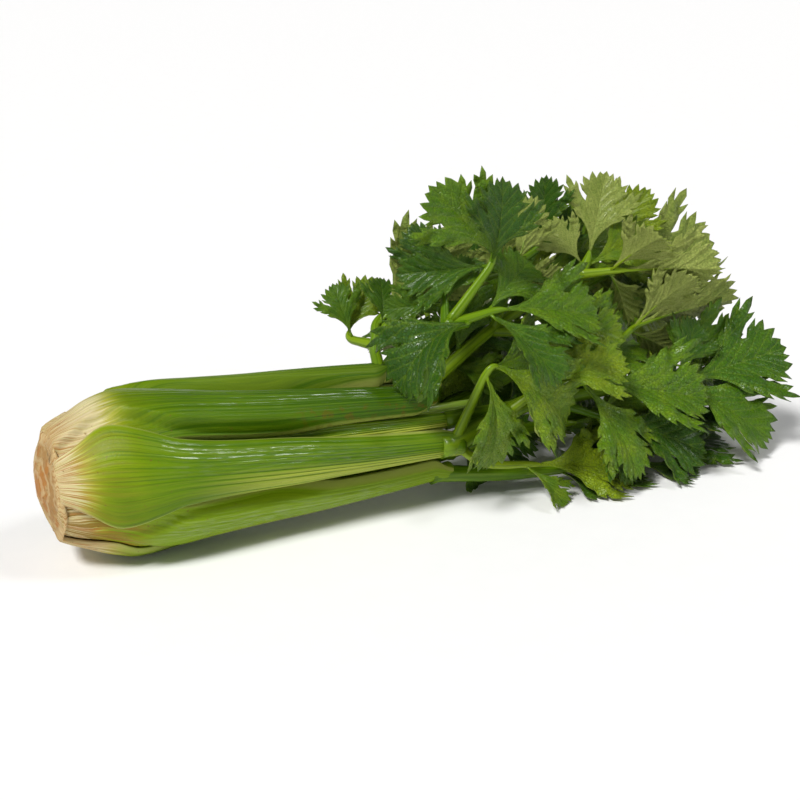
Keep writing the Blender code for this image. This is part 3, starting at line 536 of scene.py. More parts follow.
def tube_faces(rows, width):
    """Triangles of a tube of rings, each of this many points, with a fan over both its ends."""
    i = np.arange(width)
    starts = np.arange(rows - 1)[:, None] * width
    a, b = starts + i, starts + (i + 1) % width
    skin = np.stack([a, b, b + width, a, b + width, a + width], -1).reshape(-1, 3)
    i = i[1:-1]
    fan = np.stack([np.zeros_like(i), i, i + 1], -1)
    return np.concatenate([skin, fan[:, ::-1], fan + (rows - 1) * width])


class Shape:
    """Triangles with a material number each, and named values for each point, gathered into one piece."""

    def __init__(self):
        self.points, self.faces, self.kinds, self.size = [], [], [], 0
        self.values = {key: [] for key in VALUES}

    def add(self, points, faces, kind=0, **values):
        points, faces = np.asarray(points, float), np.asarray(faces, int)
        self.points.append(points)
        self.faces.append(faces + self.size)
        self.kinds.append(np.broadcast_to(kind, len(faces)))
        for key in VALUES:
            self.values[key].append(np.broadcast_to(values.get(key, 0.0), len(points)))
        self.size += len(points)

    def add_rings(self, rings, **values):
        """Adds a closed tube through these rings of points."""
        self.add(np.concatenate(rings), tube_faces(len(rings), len(rings[0])), **values)

    def piece(self, name, materials, node):
        """The gathered mesh as a piece that rides on the root body and stands for this node."""
        mesh = bpy.data.meshes.new(name)
        mesh.from_pydata(np.concatenate(self.points).tolist(), [], np.concatenate(self.faces).tolist())
        mesh.polygons.foreach_set("material_index", np.concatenate(self.kinds).astype(np.int32))
        for key in VALUES:
            values = np.concatenate(self.values[key]).astype(np.float32)
            if values.any():
                mesh.attributes.new(key, "FLOAT", "POINT").data.foreach_set("value", values)
        for paint in materials:
            mesh.materials.append(paint)
        mesh.shade_smooth()
        made = add_object(name, mesh)
        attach(made, "root")
        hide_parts(node)


# Stalks


def rib_height(t, count, phase):
    """How high the ribs stand across a stalk, from 0 to 1: uneven crests with narrow grooves between them."""
    place = count * (t + 1) + 0.22 * np.sin(5.3 * t + phase) + 0.1 * np.sin(13.1 * t + 2 * phase)
    broad = 0.5 - 0.5 * np.cos(math.pi * place)
    narrow = np.abs(np.sin(math.pi * place)) ** 0.7
    size = 0.7 + 0.3 * np.sin(7.7 * t + 3 * phase) * np.sin(3.1 * t + phase)
    return 1 - size * (1 - 0.3 * broad - 0.7 * narrow)


def crescent(name, s, outer_t, inner_t, count):
    """One ring of a stalk: its points, and how high the ribs are on them."""
    middle, half = stalk_angle(name, s), stalk_reach(name, s)[1]
    t = np.concatenate([outer_t, inner_t])
    outer, inner = stalk_surface(name, s, middle + half * t)
    rounding = np.clip((np.abs(t) - 1 + MARGIN_ROUND) / MARGIN_ROUND, 0, 1) ** 2 * 0.99
    wall = (outer - inner) * np.sqrt(1 - rounding)
    sway = RIB_SWAY * np.sin(55 * s + 5 * t)
    ribs = rib_height(t + sway, count, stalk_number(name)) * smooth_between(1 - np.abs(t), 0, RIB_MARGIN)
    on_top = np.arange(len(t)) < len(outer_t)
    radii = np.where(on_top, inner + wall - RIB_DEPTH * rib_growth(s) * (1 - ribs), inner)
    return head_points(s, middle + half * t, radii), np.where(on_top, ribs, INNER_RIB)


def collar_ring(name, ring, outer_count, beyond, share, radius):
    """A ring past a stalk's end, part of the way from its crescent to its round leaf stem."""
    middle = stalk_angle(name, STALKS[name].end)
    outward = np.array([0, -math.cos(middle), math.sin(middle)])
    sideways = np.array([0, math.sin(middle), math.cos(middle)])
    inner_turns = np.linspace(90, 270, len(ring) - outer_count + 2)[1:-1]
    turns = np.radians(np.concatenate([np.linspace(-90, 90, outer_count), inner_turns]))[:, None]
    centre = np.array(joint_of(name)) + np.array([beyond, 0, 0])
    round_ring = centre + radius * (np.cos(turns) * outward + np.sin(turns) * sideways)
    moved = ring + np.array([beyond, 0, 0])
    return moved + (round_ring - moved) * share


def make_stalk(name):
    stalk, number = STALKS[name], stalk_number(name)
    count = OUTER_RIBS if stalk.start == 0 else INNER_RIBS
    even = np.linspace(-1, 1, RIB_SAMPLES * count + 1)
    outer_t = np.sin(even * math.pi / 2) * MARGIN_CROWDING + even * (1 - MARGIN_CROWDING)
    inner_t = outer_t[::-INNER_STRIDE][1:-1]
    places = [*np.linspace(stalk.start, stalk.end, round((stalk.end - stalk.start) / RING_STEP) + 1)]
    rings, heights = map(list, zip(*[crescent(name, s, outer_t, inner_t, count) for s in places]))
    last, stem = rings[-1], stem_radius(name, 0) * COLLAR_FIT
    for beyond, share in COLLAR:
        radius = stem if share < 1 else stem * COLLAR_END
        rings.append(collar_ring(name, last, len(outer_t), beyond, smooth_step(share), radius))
        heights.append(heights[-1] * COLLAR_RIB_FADE)
        places.append(places[-1])
    t = np.tile(np.concatenate([outer_t, inner_t]), len(rings))
    shape = Shape()
    shape.add_rings(
        rings, along=np.repeat(places, len(last)), rib=np.concatenate(heights),
        across=t + 3 * number, side=t, tone=STALK_TONE_AND_LIGHT[name], pale=BLANCHED.get(name, USUAL_BLANCHED),
    )
    shape.piece(name + "_stalk", [stalk_paint], "stalk_" + name)


# Stems and tubes


def smooth_path(points, pieces):
    """Points along a Catmull-Rom curve through these points."""
    ends = [2 * points[0] - points[1], *points, 2 * points[-1] - points[-2]]
    path = []
    for a, b, c, d in zip(ends, ends[1:], ends[2:], ends[3:]):
        for i in range(pieces):
            t = i / pieces
            square, cube = 2 * a - 5 * b + 4 * c - d, 3 * b - a - 3 * c + d
            path.append(0.5 * (2 * b + (c - a) * t + square * t * t + cube * t**3))
    return [*path, points[-1]]


def add_tube(shape, path, radii, sides, face, relief=0.06, **values):
    """A ribbed tube along a path, with a shallow groove on the side that it faces first."""
    turns = np.linspace(0, 2 * math.pi, sides, endpoint=False)
    ribs = 0.5 + 0.5 * np.cos(turns * (sides // 4))
    groove = sum(np.exp(-(((turns - full) / GROOVE_WIDTH) ** 2)) for full in (0, 2 * math.pi))
    profile = 1 + relief * (ribs - 1) - GROOVE_DEPTH * relief * groove
    before, rings = None, []
    for i, (point, radius) in enumerate(zip(path, radii)):
        ahead = (path[min(i + 1, len(path) - 1)] - path[max(i - 1, 0)]).normalized()
        if before is None:
            face = (face - ahead * face.dot(ahead)).normalized()
        else:
            face = before.rotation_difference(ahead) @ face
        before = ahead
        across = np.array(ahead.cross(face))
        ring = np.cos(turns)[:, None] * np.array(face) + np.sin(turns)[:, None] * across
        ring = np.array(point) + ring * (radius * profile)[:, None]
        ring[:, 2] = np.maximum(ring[:, 2], FLOOR_GAP)
        rings.append(ring)
    length = np.cumsum([0] + [(b - a).length for a, b in zip(path, path[1:])])
    shape.add_rings(
        rings, rib=np.tile(ribs, len(rings)), across=np.tile(turns, len(rings)),
        along=np.repeat(length, sides), **values,
    )


def stem_radius(name, place):
    """A leaf stem's radius, where place goes from 0 at the joint to 1 at its end."""
    low, high = STEM_RADII
    return STALKS[name].stem * (low + (high - low) * place)


def stem_nodes(name):
    return [joint_of(name) + Vector((STEM_START, 0, 0)), *[placed(p) for p in LEAVES[name][0]]]


def branch_stops(name):
    """Each branch's own points, where its end leaflet would reach, and its face, side shares and droop."""
    nodes = stem_nodes(name)
    for number, (at, points, tip, face, shares, droop) in enumerate(LEAVES[name][1]):
        along = (nodes[at] - nodes[at - 1]).normalized() if at else Vector((-1, 0, 0))
        root = nodes[at] - along * (BRANCH_BACK + BRANCH_STEP * number)
        yield [root, *[placed(p) for p in points]], placed(tip), Vector(face), shares, droop


# Leaflets


class Leaflet:
    """One leaflet: where its short stem grows from, the way it points and faces, and how it is bent."""

    def __init__(self, root, heading, face, length, droop, seed):
        self.root = root
        self.heading = heading.normalized()
        self.face = (face - self.heading * face.dot(self.heading)).normalized()
        self.length = length
        self.droop = math.radians(droop)
        chance = random.Random(seed)
        self.fold = math.radians(chance.uniform(10, 24))
        self.wave = chance.uniform(0.02, 0.045)
        self.phase = chance.uniform(0, 6.28)
        self.skew = chance.uniform(-0.1, 0.1)
        self.width = chance.uniform(0.9, 1.06)
        self.seed = seed

    def turned(self, pitch, yaw, roll, size):
        """The same leaflet held a little differently."""
        across = self.face.cross(self.heading)
        turn = Matrix.Identity(3)
        for angle, axis in ((yaw, self.face), (pitch, across), (roll, self.heading)):
            turn = turn @ Matrix.Rotation(math.radians(angle), 3, axis)
        copy = Leaflet(self.root, turn @ self.heading, turn @ self.face, self.length * size, 0, self.seed)
        copy.droop = self.droop
        return copy

    def bent(self, flat, extra=0.0):
        """Where points of the flat pattern lie, with extra lift as a share of the leaflet's length."""
        u, v = np.asarray(flat, float).T
        turn = self.droop * u
        if abs(self.droop) > 0.01:
            along, down = np.sin(turn) / self.droop, (1 - np.cos(turn)) / self.droop
        else:
            along, down = u, 0.5 * self.droop * u * u
        side = v * self.width * math.cos(self.fold) + self.skew * u * u
        lift = np.abs(v) * math.sin(self.fold) + extra
        lift = lift + self.wave * np.sin(7 * u + 4 * v + self.phase) * np.minimum(np.abs(v) * 2.5, 1)
        along = along + lift * np.sin(turn)
        rise = lift * np.cos(turn) - down
        basis = np.array([self.heading, self.face, self.face.cross(self.heading)])
        place = np.array(self.root + self.heading * LEAFLET_STALK)
        place = place + self.length * np.stack([along, rise, side], -1) @ basis
        place[:, 2] = np.maximum(place[:, 2], BLADE_GAP + MARGIN_GAP * np.abs(v))
        return place


def point_normals(points, faces):
    """Unit normals at the points of a triangle mesh."""
    a, b, c = (points[faces[:, k]] for k in range(3))
    flat = np.cross(b - a, c - a)
    normals = np.zeros_like(points)
    for k in range(3):
        np.add.at(normals, faces[:, k], flat)
    return normals / np.maximum(np.linalg.norm(normals, axis=1, keepdims=True), 1e-12)


def toothed_half(chance):
    """Half the outline of a leaflet from its foot to its tip, with bowed teeth that stray a little."""
    half = []
    for number, (u, v) in enumerate(FINE_HALF):
        stray = STRAY if number >= WEDGE_POINTS else 0
        point = Vector((u + chance.uniform(-stray, stray), v + chance.uniform(-stray, stray)))
        if number >= WEDGE_POINTS:
            side = point - half[-1]
            bow = TOOTH_BOW * min(max(side.length / TOOTH_SIDE - 0.75, -0.4), 1)
            half.append((point + half[-1]) / 2 + bow * Vector((-side.y, side.x)))
        half.append(point)
    return half


def spread(line, step):
    """Points along a polyline about this far apart, with its ends."""
    points = [Vector(p) for p in line]
    made = [points[0]]
    for a, b in zip(points, points[1:]):
        pieces = max(1, round((b - a).length / step))
        made += [a.lerp(b, (i + 1) / pieces) for i in range(pieces)]
    return made


def inside(points, ring):
    """Which points are inside a closed ring."""
    x, y = points.T
    result = np.zeros(len(points), bool)
    for (ax, ay), (bx, by) in zip(ring, np.roll(ring, -1, axis=0)):
        if ay != by:
            result ^= ((ay > y) != (by > y)) & (x < (bx - ax) * (y - ay) / (by - ay) + ax)
    return result


def line_distance(points, lines):
    """How far each point is from the nearest of these polylines."""
    nearest = np.full(len(points), 1.0)
    for line in lines:
        for a, b in zip(line, line[1:]):
            a, b = np.array(a), np.array(b)
            t = np.clip(((points - a) @ (b - a)) / ((b - a) @ (b - a)), 0, 1)
            nearest = np.minimum(nearest, np.linalg.norm(points - a - t[:, None] * (b - a), axis=1))
    return nearest


class Pattern:
    """A flat leaflet cut into triangles along its teeth and veins, with values for each of its points."""

    def __init__(self, seed):
        chance = random.Random(seed)
        right, left = toothed_half(chance), toothed_half(chance)
        rim = np.array([*right, (TIP, 0.0), *[(p.x, -p.y) for p in reversed(left)]])
        closed = [[*rim, rim[0]]]
        veins = [[(0, 0), (MIDRIB_END, 0)]]
        for line in VEINS:
            bow = chance.uniform(-VEIN_BOW, VEIN_BOW)
            for way in (1, -1):
                veins.append([(u + bow * i, way * v) for i, (u, v) in enumerate(line)])
        flat, edges = [Vector(p) for p in rim], [(i, (i + 1) % len(rim)) for i in range(len(rim))]
        for line in veins:
            points = spread(line, VEIN_STEP)
            points = [p for p, keep in zip(points, inside(np.array(points), rim)) if keep]
            edges += [(len(flat) + i, len(flat) + i + 1) for i in range(len(points) - 1)]
            flat += points
        for points, rim_gap, vein_gap in ((beside(veins), 0.006, 1.2), (grid(), 0.011, 2.2)):
            keep = inside(points, rim) & (line_distance(points, closed) > rim_gap)
            keep &= line_distance(points, veins) > VEIN_WIDTH * vein_gap
            flat += [Vector(p) for p in points[keep]]
        made = delaunay_2d_cdt(flat, edges, [list(range(len(rim)))], 1, 1e-6)
        self.flat = np.array([tuple(p) for p in made[0]])
        self.faces = np.array([tuple(f) for f in made[2]])
        self.rim = len(rim)
        distance = line_distance(self.flat, veins)
        self.vein = np.exp(-((distance / (VEIN_WIDTH * (1.15 - 0.7 * self.flat[:, 0]))) ** 2))
        self.quilt = 1 - np.exp(-((distance / QUILT_WIDTH) ** 2))
        self.edge = line_distance(self.flat, closed)


def beside(veins):
    """Points on both sides of each vein."""
    made = []
    for line in veins:
        points = spread(line, VEIN_STEP)
        for a, b in zip(points, points[1:]):
            normal = Vector((a.y - b.y, b.x - a.x)).normalized() * VEIN_WIDTH * 1.3
            made += [(a + b) / 2 + normal, (a + b) / 2 - normal]
    return np.array(made)


def grid():
    """Points spread evenly over the flat leaflet and past it."""
    rows = enumerate(np.arange(-0.55, 0.56, PATTERN_STEP * 0.87))
    columns = np.arange(0.02, 1.05, PATTERN_STEP)
    return np.array([(u + PATTERN_STEP / 2 * (row % 2), v) for row, v in rows for u in columns])


def blade_lift(flat, leaflet, quilt):
    """How far ripples, quilting and curled margins lift the blade, as a share of the leaflet's length."""
    u, v = flat.T
    ripple = np.sin(23 * u + 11 * v + leaflet.phase)
    ripple = ripple + 0.6 * np.sin(43 * u - 19 * v + 2 * leaflet.phase)
    ripple = ripple * smooth_between(np.abs(v), 0.08, 0.4)
    curl = 0.5 + 0.5 * np.sin(5 * u + 3 * np.sign(v) + 2 * leaflet.phase)
    return RIPPLE * ripple + QUILT * quilt - QUILT / 2 - CURL * curl * (v / 0.5) ** 2


def add_blade(shape, leaflet, pattern, tone):
    """A leaflet's blade, with quilted upper and lower faces and a rim round its teeth."""
    flat, faces, edge = pattern.flat, pattern.faces, pattern.edge
    middle = leaflet.bent(flat, blade_lift(flat, leaflet, pattern.quilt))
    normals = point_normals(middle, faces)
    wall = FINE_WALL * (0.45 + 0.55 * smooth_between(edge, 0, THIN_MARGIN))[:, None] / 2
    ridge = (VEIN_RIDGE * pattern.vein * (1 - 0.6 * flat[:, 0]))[:, None]
    layers = np.concatenate([middle + normals * (wall - 0.25 * ridge), middle - normals * (wall + ridge)])
    layers[:, 2] = np.maximum(layers[:, 2], FLOOR_GAP)
    count = len(flat)
    i = np.arange(pattern.rim)
    j = (i + 1) % pattern.rim
    sides = np.concatenate([np.stack([i, j, j + count], -1), np.stack([i, j + count, i + count], -1)])
    near, away = (2, 1) if leaflet.seed in TURNED_OVER else (1, 2)
    kinds = np.repeat([near, away, near], [len(faces), len(faces), len(sides)])
    shape.add(
        layers, np.concatenate([faces, faces[:, ::-1] + count, sides]), kinds,
        along=np.tile(flat[:, 0], 2), across=np.tile(flat[:, 1], 2) + 2 * (leaflet.seed % 37),
        vein=np.tile(pattern.vein, 2), rim=np.tile(1 - smooth_between(edge, 0, PALE_MARGIN), 2), tone=tone,
    )


def add_leaflet_stem(shape, leaflet, path, radii, tone):
    """The tube from a branch to its leaflet, which runs on as the raised midrib under the blade."""
    size = min(leaflet.length / MIDRIB_LENGTH, MIDRIB_LIMIT)
    places, thick = zip(*[(place, size * radius) for place, radius in MIDRIB])
    rib = leaflet.bent([(u, 0) for u in places], -QUILT / 2)
    under = [Vector(p) - leaflet.face * r * 0.75 for p, r in zip(rib, thick)]
    if len(path) > 1:
        start = max(i for i, p in enumerate(path) if i == 0 or (p - path[-1]).length > BEND)
        first, corner, last = path[start], path[-1], under[0]
        turns = [i / 8 for i in range(1, 8)]
        curve = [first * (1 - t) ** 2 + corner * 2 * t * (1 - t) + last * t * t for t in turns]
        path = [*path[:start + 1], *curve]
        radii = [*radii[:start + 1], *[radii[start] + (thick[0] - radii[start]) * t * t for t in turns]]
    add_tube(shape, [*path, *under], [*radii, *thick], BRANCH_SIDES, leaflet.face, relief=0.1, tone=tone)


def held_as_built(leaflet, solid):
    """The leaflet held as it is in its solid, or None if the solid doesn't have it."""
    tips = [LOBE_TIP, (1, 0), (LOBE_TIP[0], -LOBE_TIP[1]), END_LOBE_TIP]
    for way in TRIES:
        held = leaflet.turned(*way)
        if all(solid.find(p)[2] < BLADE_THICKNESS for p in held.bent(tips)):
            return held
    return None


def solid_points(name):
    """The points of a leaf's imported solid, to be searched by place."""
    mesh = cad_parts["leaf_" + name].data
    solid = KDTree(len(mesh.vertices))
    for i, vertex in enumerate(mesh.vertices):
        solid.insert(vertex.co, i)
    solid.balance()
    return solid


def side_leaflets(end, base, before, shares, droop):
    """The leaflets that a branch's side shares ask for, on either side of its end leaflet's foot."""
    foot = base + (before - base).normalized() * SIDE_OFFSET
    for way, share in zip((1, -1), shares):
        if share:
            heading = Matrix.Rotation(math.radians(way * SIDE_ANGLE), 3, end.face) @ end.heading
            look = Matrix.Rotation(math.radians(way * SIDE_ROLL), 3, heading) @ end.face
            yield Leaflet(foot, heading, look, end.length * share, droop + SIDE_DROOP, end.seed + 2 + way)


def leaflets_of(name):
    """Every leaflet of a leaf as its solid holds it, with the path and radii of its stem."""
    solid = solid_points(name)
    low, high = BRANCH_RADII
    for number, (stops, tip, face, shares, droop) in enumerate(branch_stops(name)):
        base = stops[-1]
        seed = 100 * list(LEAVES).index(name) + 10 * number
        end = Leaflet(base, tip - base, face, (tip - base).length - LEAFLET_STALK, droop, seed)
        held = held_as_built(end, solid)
        if held is None:
            continue
        path = smooth_path(stops, 8)
        yield held, path, [low + (high - low) * i / (len(path) - 1) for i in range(len(path))]
        for flat in side_leaflets(end, base, smooth_path(stops, 2)[-2], shares, droop):
            side = held_as_built(flat, solid)
            if side is not None:
                yield side, [flat.root], [SIDE_RADIUS]


def sprigs_of(name, path):
    """The small leaflets along a leaf stem, with the path and radius of each one's own stem."""
    for number, (share, tip, face, droop) in enumerate(SPRIGS.get(name, ())):
        root = path[round(share * (len(path) - 1))]
        reach = placed(tip) - root
        leaflet = Leaflet(root, reach, Vector(face), reach.length - LEAFLET_STALK, droop, SPRIG_SEED + number)
        yield leaflet, [root], [SIDE_RADIUS]


def make_leaf(name):
    nodes = stem_nodes(name)
    path = [joint_of(name) + Vector((STEM_OVERLAP, 0, 0)), *smooth_path(nodes, 10)]
    coarse = 2 * (len(nodes) - 1) + 1
    radii = [stem_radius(name, 0), *[stem_radius(name, (1 + i / 5) / coarse) for i in range(len(path) - 1)]]
    middle = stalk_angle(name, STALKS[name].end)
    inward = Vector((0, math.cos(middle), -math.sin(middle)))
    chance = random.Random(name)
    tone = LEAF_TONES[name]
    shape = Shape()
    add_tube(shape, path, radii, STEM_SIDES, inward, tone=tone)
    for leaflet, stem_path, stem_radii in (*leaflets_of(name), *sprigs_of(name, path)):
        own = min(max(tone + chance.uniform(-TONE_RANGE, TONE_RANGE), 0), 1)
        add_leaflet_stem(shape, leaflet, stem_path, stem_radii, own)
        add_blade(shape, leaflet, patterns[leaflet.seed % VARIANTS], own)
    shape.piece(name + "_leaf", [stem_paint, leaf_paint, under_paint], "leaf_" + name)


# Butt and heart


def make_butt():
    """The trimmed cut end: a domed face, and a skin that laps the bases of the stalks."""
    chance = random.Random(5)
    waves = [(chance.uniform(0, 6.28), chance.choice(BUTT_WAVES), chance.uniform(0.2, 1)) for _ in range(8)]
    turns = np.linspace(0, 2 * math.pi, BUTT_SIDES, endpoint=False)
    rough = sum(size * np.sin(count * turns + phase) for phase, count, size in waves) / 3.2
    corners = [Vector(p) for p in BUTT_PROFILE]
    corners[0].y = corners[-1].y = BUTT_TIP
    profile = np.array([tuple(p) for p in smooth_path(corners, 4)])
    rings = []
    for number, (s, radius) in enumerate(profile):
        outer = smooth_between(radius, *BUTT_ROUGH_FROM)
        ring = head_points(s, turns + BUTT_TWIST * math.sin(number), radius * (1 + BUTT_WAVE * rough * outer))
        ring[:, 0] += outer * BUTT_STEP * rough
        rings.append(ring)
    shape = Shape()
    shape.add_rings(
        rings, along=np.repeat(profile[:, 0], BUTT_SIDES), rib=np.repeat(profile[:, 1] / 0.03, BUTT_SIDES),
        across=np.tile(turns, len(rings)),
    )
    shape.piece("cut_butt", [butt_paint], "butt")


def make_heart():
    """The slim pale stalks in the middle."""
    for number, (angle, radius, end) in enumerate(HEART_STEMS):
        turn = math.radians(angle)
        y, z = -radius * math.cos(turn), radius * math.sin(turn)
        foot = Vector((CUT_X + HEART_START, AXIS_Y + y, AXIS_Z + z))
        top = Vector((CUT_X + end, AXIS_Y + y, AXIS_Z + z))
        path = smooth_path([foot, (foot + top) / 2 + Vector((0, 0.3 * y, 0.3 * z)), top], 20)
        radii = [HEART_STEM_RADIUS * (1 - 0.4 * smooth_between(i, 20, 40)) for i in range(len(path))]
        shape = Shape()
        add_tube(shape, path, radii, STEM_SIDES, Vector((0, -y, -z)), tone=0.5)
        shape.piece("heart_stalk_%d" % number, [heart_paint], "heart_%d" % number)


# Materials


class Paint:
    """One material's nodes. A socket is linked, and anything else is set as the input's own value."""

    def __init__(self, name):
        self.material = bpy.data.materials.new(name)
        self.material.use_nodes = True
        self.tree = self.material.node_tree
        self.shader = self.tree.nodes["Principled BSDF"]
        self.output = self.tree.nodes["Material Output"]

    def put(self, socket, value):
        if isinstance(value, bpy.types.NodeSocket):
            self.tree.links.new(value, socket)
        elif isinstance(value, tuple) and socket.type == "RGBA":
            socket.default_value = (*value, 1)
        else:
            socket.default_value = value

    def node(self, kind, inputs=(), **settings):
        node = self.tree.nodes.new("ShaderNode" + kind)
        for key, value in settings.items():
            setattr(node, key, value)
        for key, value in dict(inputs).items():
            self.put(node.inputs[key], value)
        return node

    @functools.cache
    def value(self, name):
        """One of the mesh's own values."""
        return self.node("Attribute", attribute_name=name).outputs["Fac"]

    def values(self, names):
        return [self.value(name) for name in names.split()]

    def math(self, operation, a, b=0.0, c=0.0):
        return self.node("Math", {0: a, 1: b, 2: c}, operation=operation).outputs[0]

    def times(self, *factors):
        return functools.reduce(functools.partial(self.math, "MULTIPLY"), factors)

    def times_plus(self, a, b, c):
        return self.math("MULTIPLY_ADD", a, b, c)

    def strayed(self, base, noise, size):
        """The base, moved up or down by a noise."""
        return self.times_plus(self.math("SUBTRACT", noise, 0.5), size, base)

    def step(self, value, low, high, out_low=0.0, out_high=1.0):
        """A smooth change from out_low to out_high as the value goes from low to high."""
        inputs = {"Value": value, "From Min": low, "From Max": high, "To Min": out_low, "To Max": out_high}
        return self.node("MapRange", inputs, interpolation_type="SMOOTHSTEP").outputs[0]

    def ramp(self, value, stops):
        node = self.node("ValToRGB", {0: value})
        parts = node.color_ramp.elements
        while len(parts) < len(stops):
            parts.new(0.5)
        for part, (place, colour) in zip(parts, stops):
            part.position = place
            part.color = (*colour, 1)
        return node.outputs[0]

    def mix(self, factor, a, b, blend="MIX"):
        node = self.node("Mix", data_type="RGBA", blend_type=blend, clamp_factor=True)
        inputs = {socket.identifier: socket for socket in node.inputs}
        for key, value in (("Factor_Float", factor), ("A_Color", a), ("B_Color", b)):
            self.put(inputs[key], value)
        return next(s for s in node.outputs if s.identifier == "Result_Color")

    def lay(self, colour, *shares):
        """Lays a colour over the paint's own, by the product of these shares."""
        self.colour = self.mix(self.times(*shares), self.colour, colour)

    def darkened(self, share, tint):
        return self.mix(share, self.colour, tint, "MULTIPLY")

    def noise(self, vector, scale, detail, rough=0.55):
        inputs = {"Vector": vector, "Scale": scale, "Detail": detail, "Roughness": rough}
        return self.node("TexNoise", inputs).outputs["Fac"]

    def cells(self, vector, scale, feature="F1"):
        inputs = {"Vector": vector, "Scale": scale}
        return self.node("TexVoronoi", inputs, feature=feature).outputs["Distance"]

    @functools.cache
    def streaks(self, along, across, detail):
        """Noise that varies at these rates along a stalk and across it."""
        along, across = self.times(self.value("along"), along), self.times(self.value("across"), across)
        return self.noise(self.combine(along, across), 1.0, detail)

    @functools.cache
    def place(self):
        return self.node("TexCoord").outputs["Object"]

    def combine(self, x, y):
        return self.node("CombineXYZ", {0: x, 1: y}).outputs[0]

    def bump(self, height, strength, distance):
        return self.node("Bump", {"Height": height, "Strength": strength, "Distance": distance}).outputs[0]

    def surface(self, **inputs):
        """Sets the shader's inputs, and the paint's own colour as its base colour."""
        for key, value in {"Base_Color": self.colour, **inputs}.items():
            self.put(self.shader.inputs[key.replace("_", " ")], value)
        return self.material

    def glow_through(self, share, colour):
        """Lets part of the light through a thin blade."""
        through = self.node("BsdfTranslucent", {"Color": colour})
        both = self.node("MixShader", {0: share, 1: self.shader.outputs[0], 2: through.outputs[0]})
        self.tree.links.new(both.outputs[0], self.output.inputs["Surface"])
        return self.material


# In a stalk's layers, "foot" is the distance from the cut less what BLANCHED adds to the pale foot, and
# "greens" goes from 0 on the pale foot to 1 on the green above it, and picks between two colours.


def stalk_green(paint, foot, greens):
    """A stalk's skin from its foot to its joint, with mottling, dark stripes and pale or brown fibres."""
    streaks, fine = paint.streaks(*BROAD_STREAKS), paint.streaks(*FINE_STREAKS)
    shift = paint.strayed(paint.strayed(foot, streaks, 0.028), fine, 0.018)
    paint.colour = paint.ramp(paint.times_plus(shift, 4.4, 0.1), FOOT_TO_JOINT)
    broad = paint.noise(paint.place(), 20.0, 2)
    paint.lay((0.05, 0.125, 0.001), greens, paint.step(broad, 0.4, 0.7, 0.0, 0.5))
    stripes = paint.step(paint.streaks(7, 22, 2), 0.48, 0.62, 0.0, 0.6)
    paint.lay((0.055, 0.135, 0.0008), paint.step(foot, 0.016, 0.034), stripes)
    lines = paint.mix(greens, (0.68, 0.62, 0.42), (0.18, 0.29, 0.004))
    paint.lay(lines, paint.step(streaks, 0.52, 0.66), 0.55)
    fibres = paint.mix(greens, (0.3, 0.155, 0.045), (0.24, 0.32, 0.008))
    paint.lay(fibres, paint.step(fine, 0.57, 0.68), 0.45)


def stalk_ribs(paint, foot, greens):
    """Pale rib stripes down the lower flank, partly painted bounce light from the floor, light crests, dark
    grooves, painted shade on the dim stalks, painted light on the brightest one, and pale margins.
    """
    along, rib, side, tone = paint.values("along rib side tone")
    # Pale ribs down the lower flank of the brighter stalks: partly real pale ribs, partly painted bounce
    # light from the floor.
    pale_ribs_and_bounce_light = paint.step(paint.strayed(rib, paint.streaks(*BROAD_STREAKS), 1.2), 0.45, 0.8)
    pale_ribs_and_bounce_light = paint.mix(pale_ribs_and_bounce_light, (0.13, 0.22, 0.002), (0.52, 0.55, 0.085))
    flank = paint.times(paint.step(side, 0.05, -0.35), paint.step(along, 0.05, 0.12))
    paint.lay(pale_ribs_and_bounce_light, flank, paint.step(tone, 0.25, 0.5, 0.0, 0.85))
    crest = paint.step(rib, 0.7, 1.0)
    paint.lay((0.24, 0.32, 0.01), crest, paint.step(along, 0.03, 0.2, 0.26, 0.34))
    grooves = paint.mix(greens, (0.36, 0.24, 0.09), (0.04, 0.1, 0.001))
    groove = paint.step(rib, 0.5, 0.05)
    paint.lay(grooves, groove, paint.step(foot, 0.02, 0.06, 0.4, 0.62))
    # Painted shade: the lower a stalk's tone, the deeper and darker its green.
    paint.lay(paint.darkened(0.85, (0.52, 0.64, 0.4)), greens, paint.step(tone, 0.9, 0.1))
    # Painted shade: the dim stalks darken further towards their joints.
    far = paint.step(along, 0.08, 0.17)
    paint.lay(paint.darkened(1.0, (0.45, 0.58, 0.15)), far, paint.step(tone, 0.5, 0.25, 0.0, 0.75))
    # Painted light: the brightest stalk is lifted towards a lighter yellow-green.
    paint.lay((0.23, 0.34, 0.004), greens, paint.step(tone, 0.9, 1.0, 0.0, 0.5))
    margins = paint.mix(greens, (0.6, 0.5, 0.28), (0.4, 0.45, 0.1))
    paint.lay(margins, paint.step(paint.math("ABSOLUTE", side), 0.88, 0.97, 0.0, 0.75))


def stalk_stains(paint):
    """Rust on the top stalk's flank, brown marks and stains above the cut, and specks."""
    along, side, tone = paint.values("along side tone")
    streaks, fine = paint.streaks(*BROAD_STREAKS), paint.streaks(*FINE_STREAKS)
    rust = paint.step(paint.noise(paint.place(), 230.0, 5), 0.52, 0.62)
    rust = paint.times(paint.step(side, -0.25, -0.55), paint.step(along, 0.115, 0.14),
                       paint.step(tone, 0.32, 0.26, 0.0, 0.4), rust)
    paint.lay((0.13, 0.055, 0.004), rust)
    reach = paint.step(tone, 0.5, 0.72, 0.0, 0.02)
    low = paint.step(paint.math("SUBTRACT", along, reach), 0.024, 0.004)
    paint.lay((0.33, 0.125, 0.025), paint.step(fine, 0.47, 0.58), low, 0.85)
    stain = paint.times(paint.step(streaks, 0.44, 0.58), paint.step(tone, 0.5, 0.7, 0.3, 0.9))
    paint.lay((0.22, 0.13, 0.014), stain, paint.step(along, 0.052, 0.02))
    specks = paint.step(paint.noise(paint.place(), 420.0, 2), 0.68, 0.75)
    paint.lay((0.16, 0.085, 0.02), specks, paint.step(along, 0.2, 0.0, 0.1, 0.6))


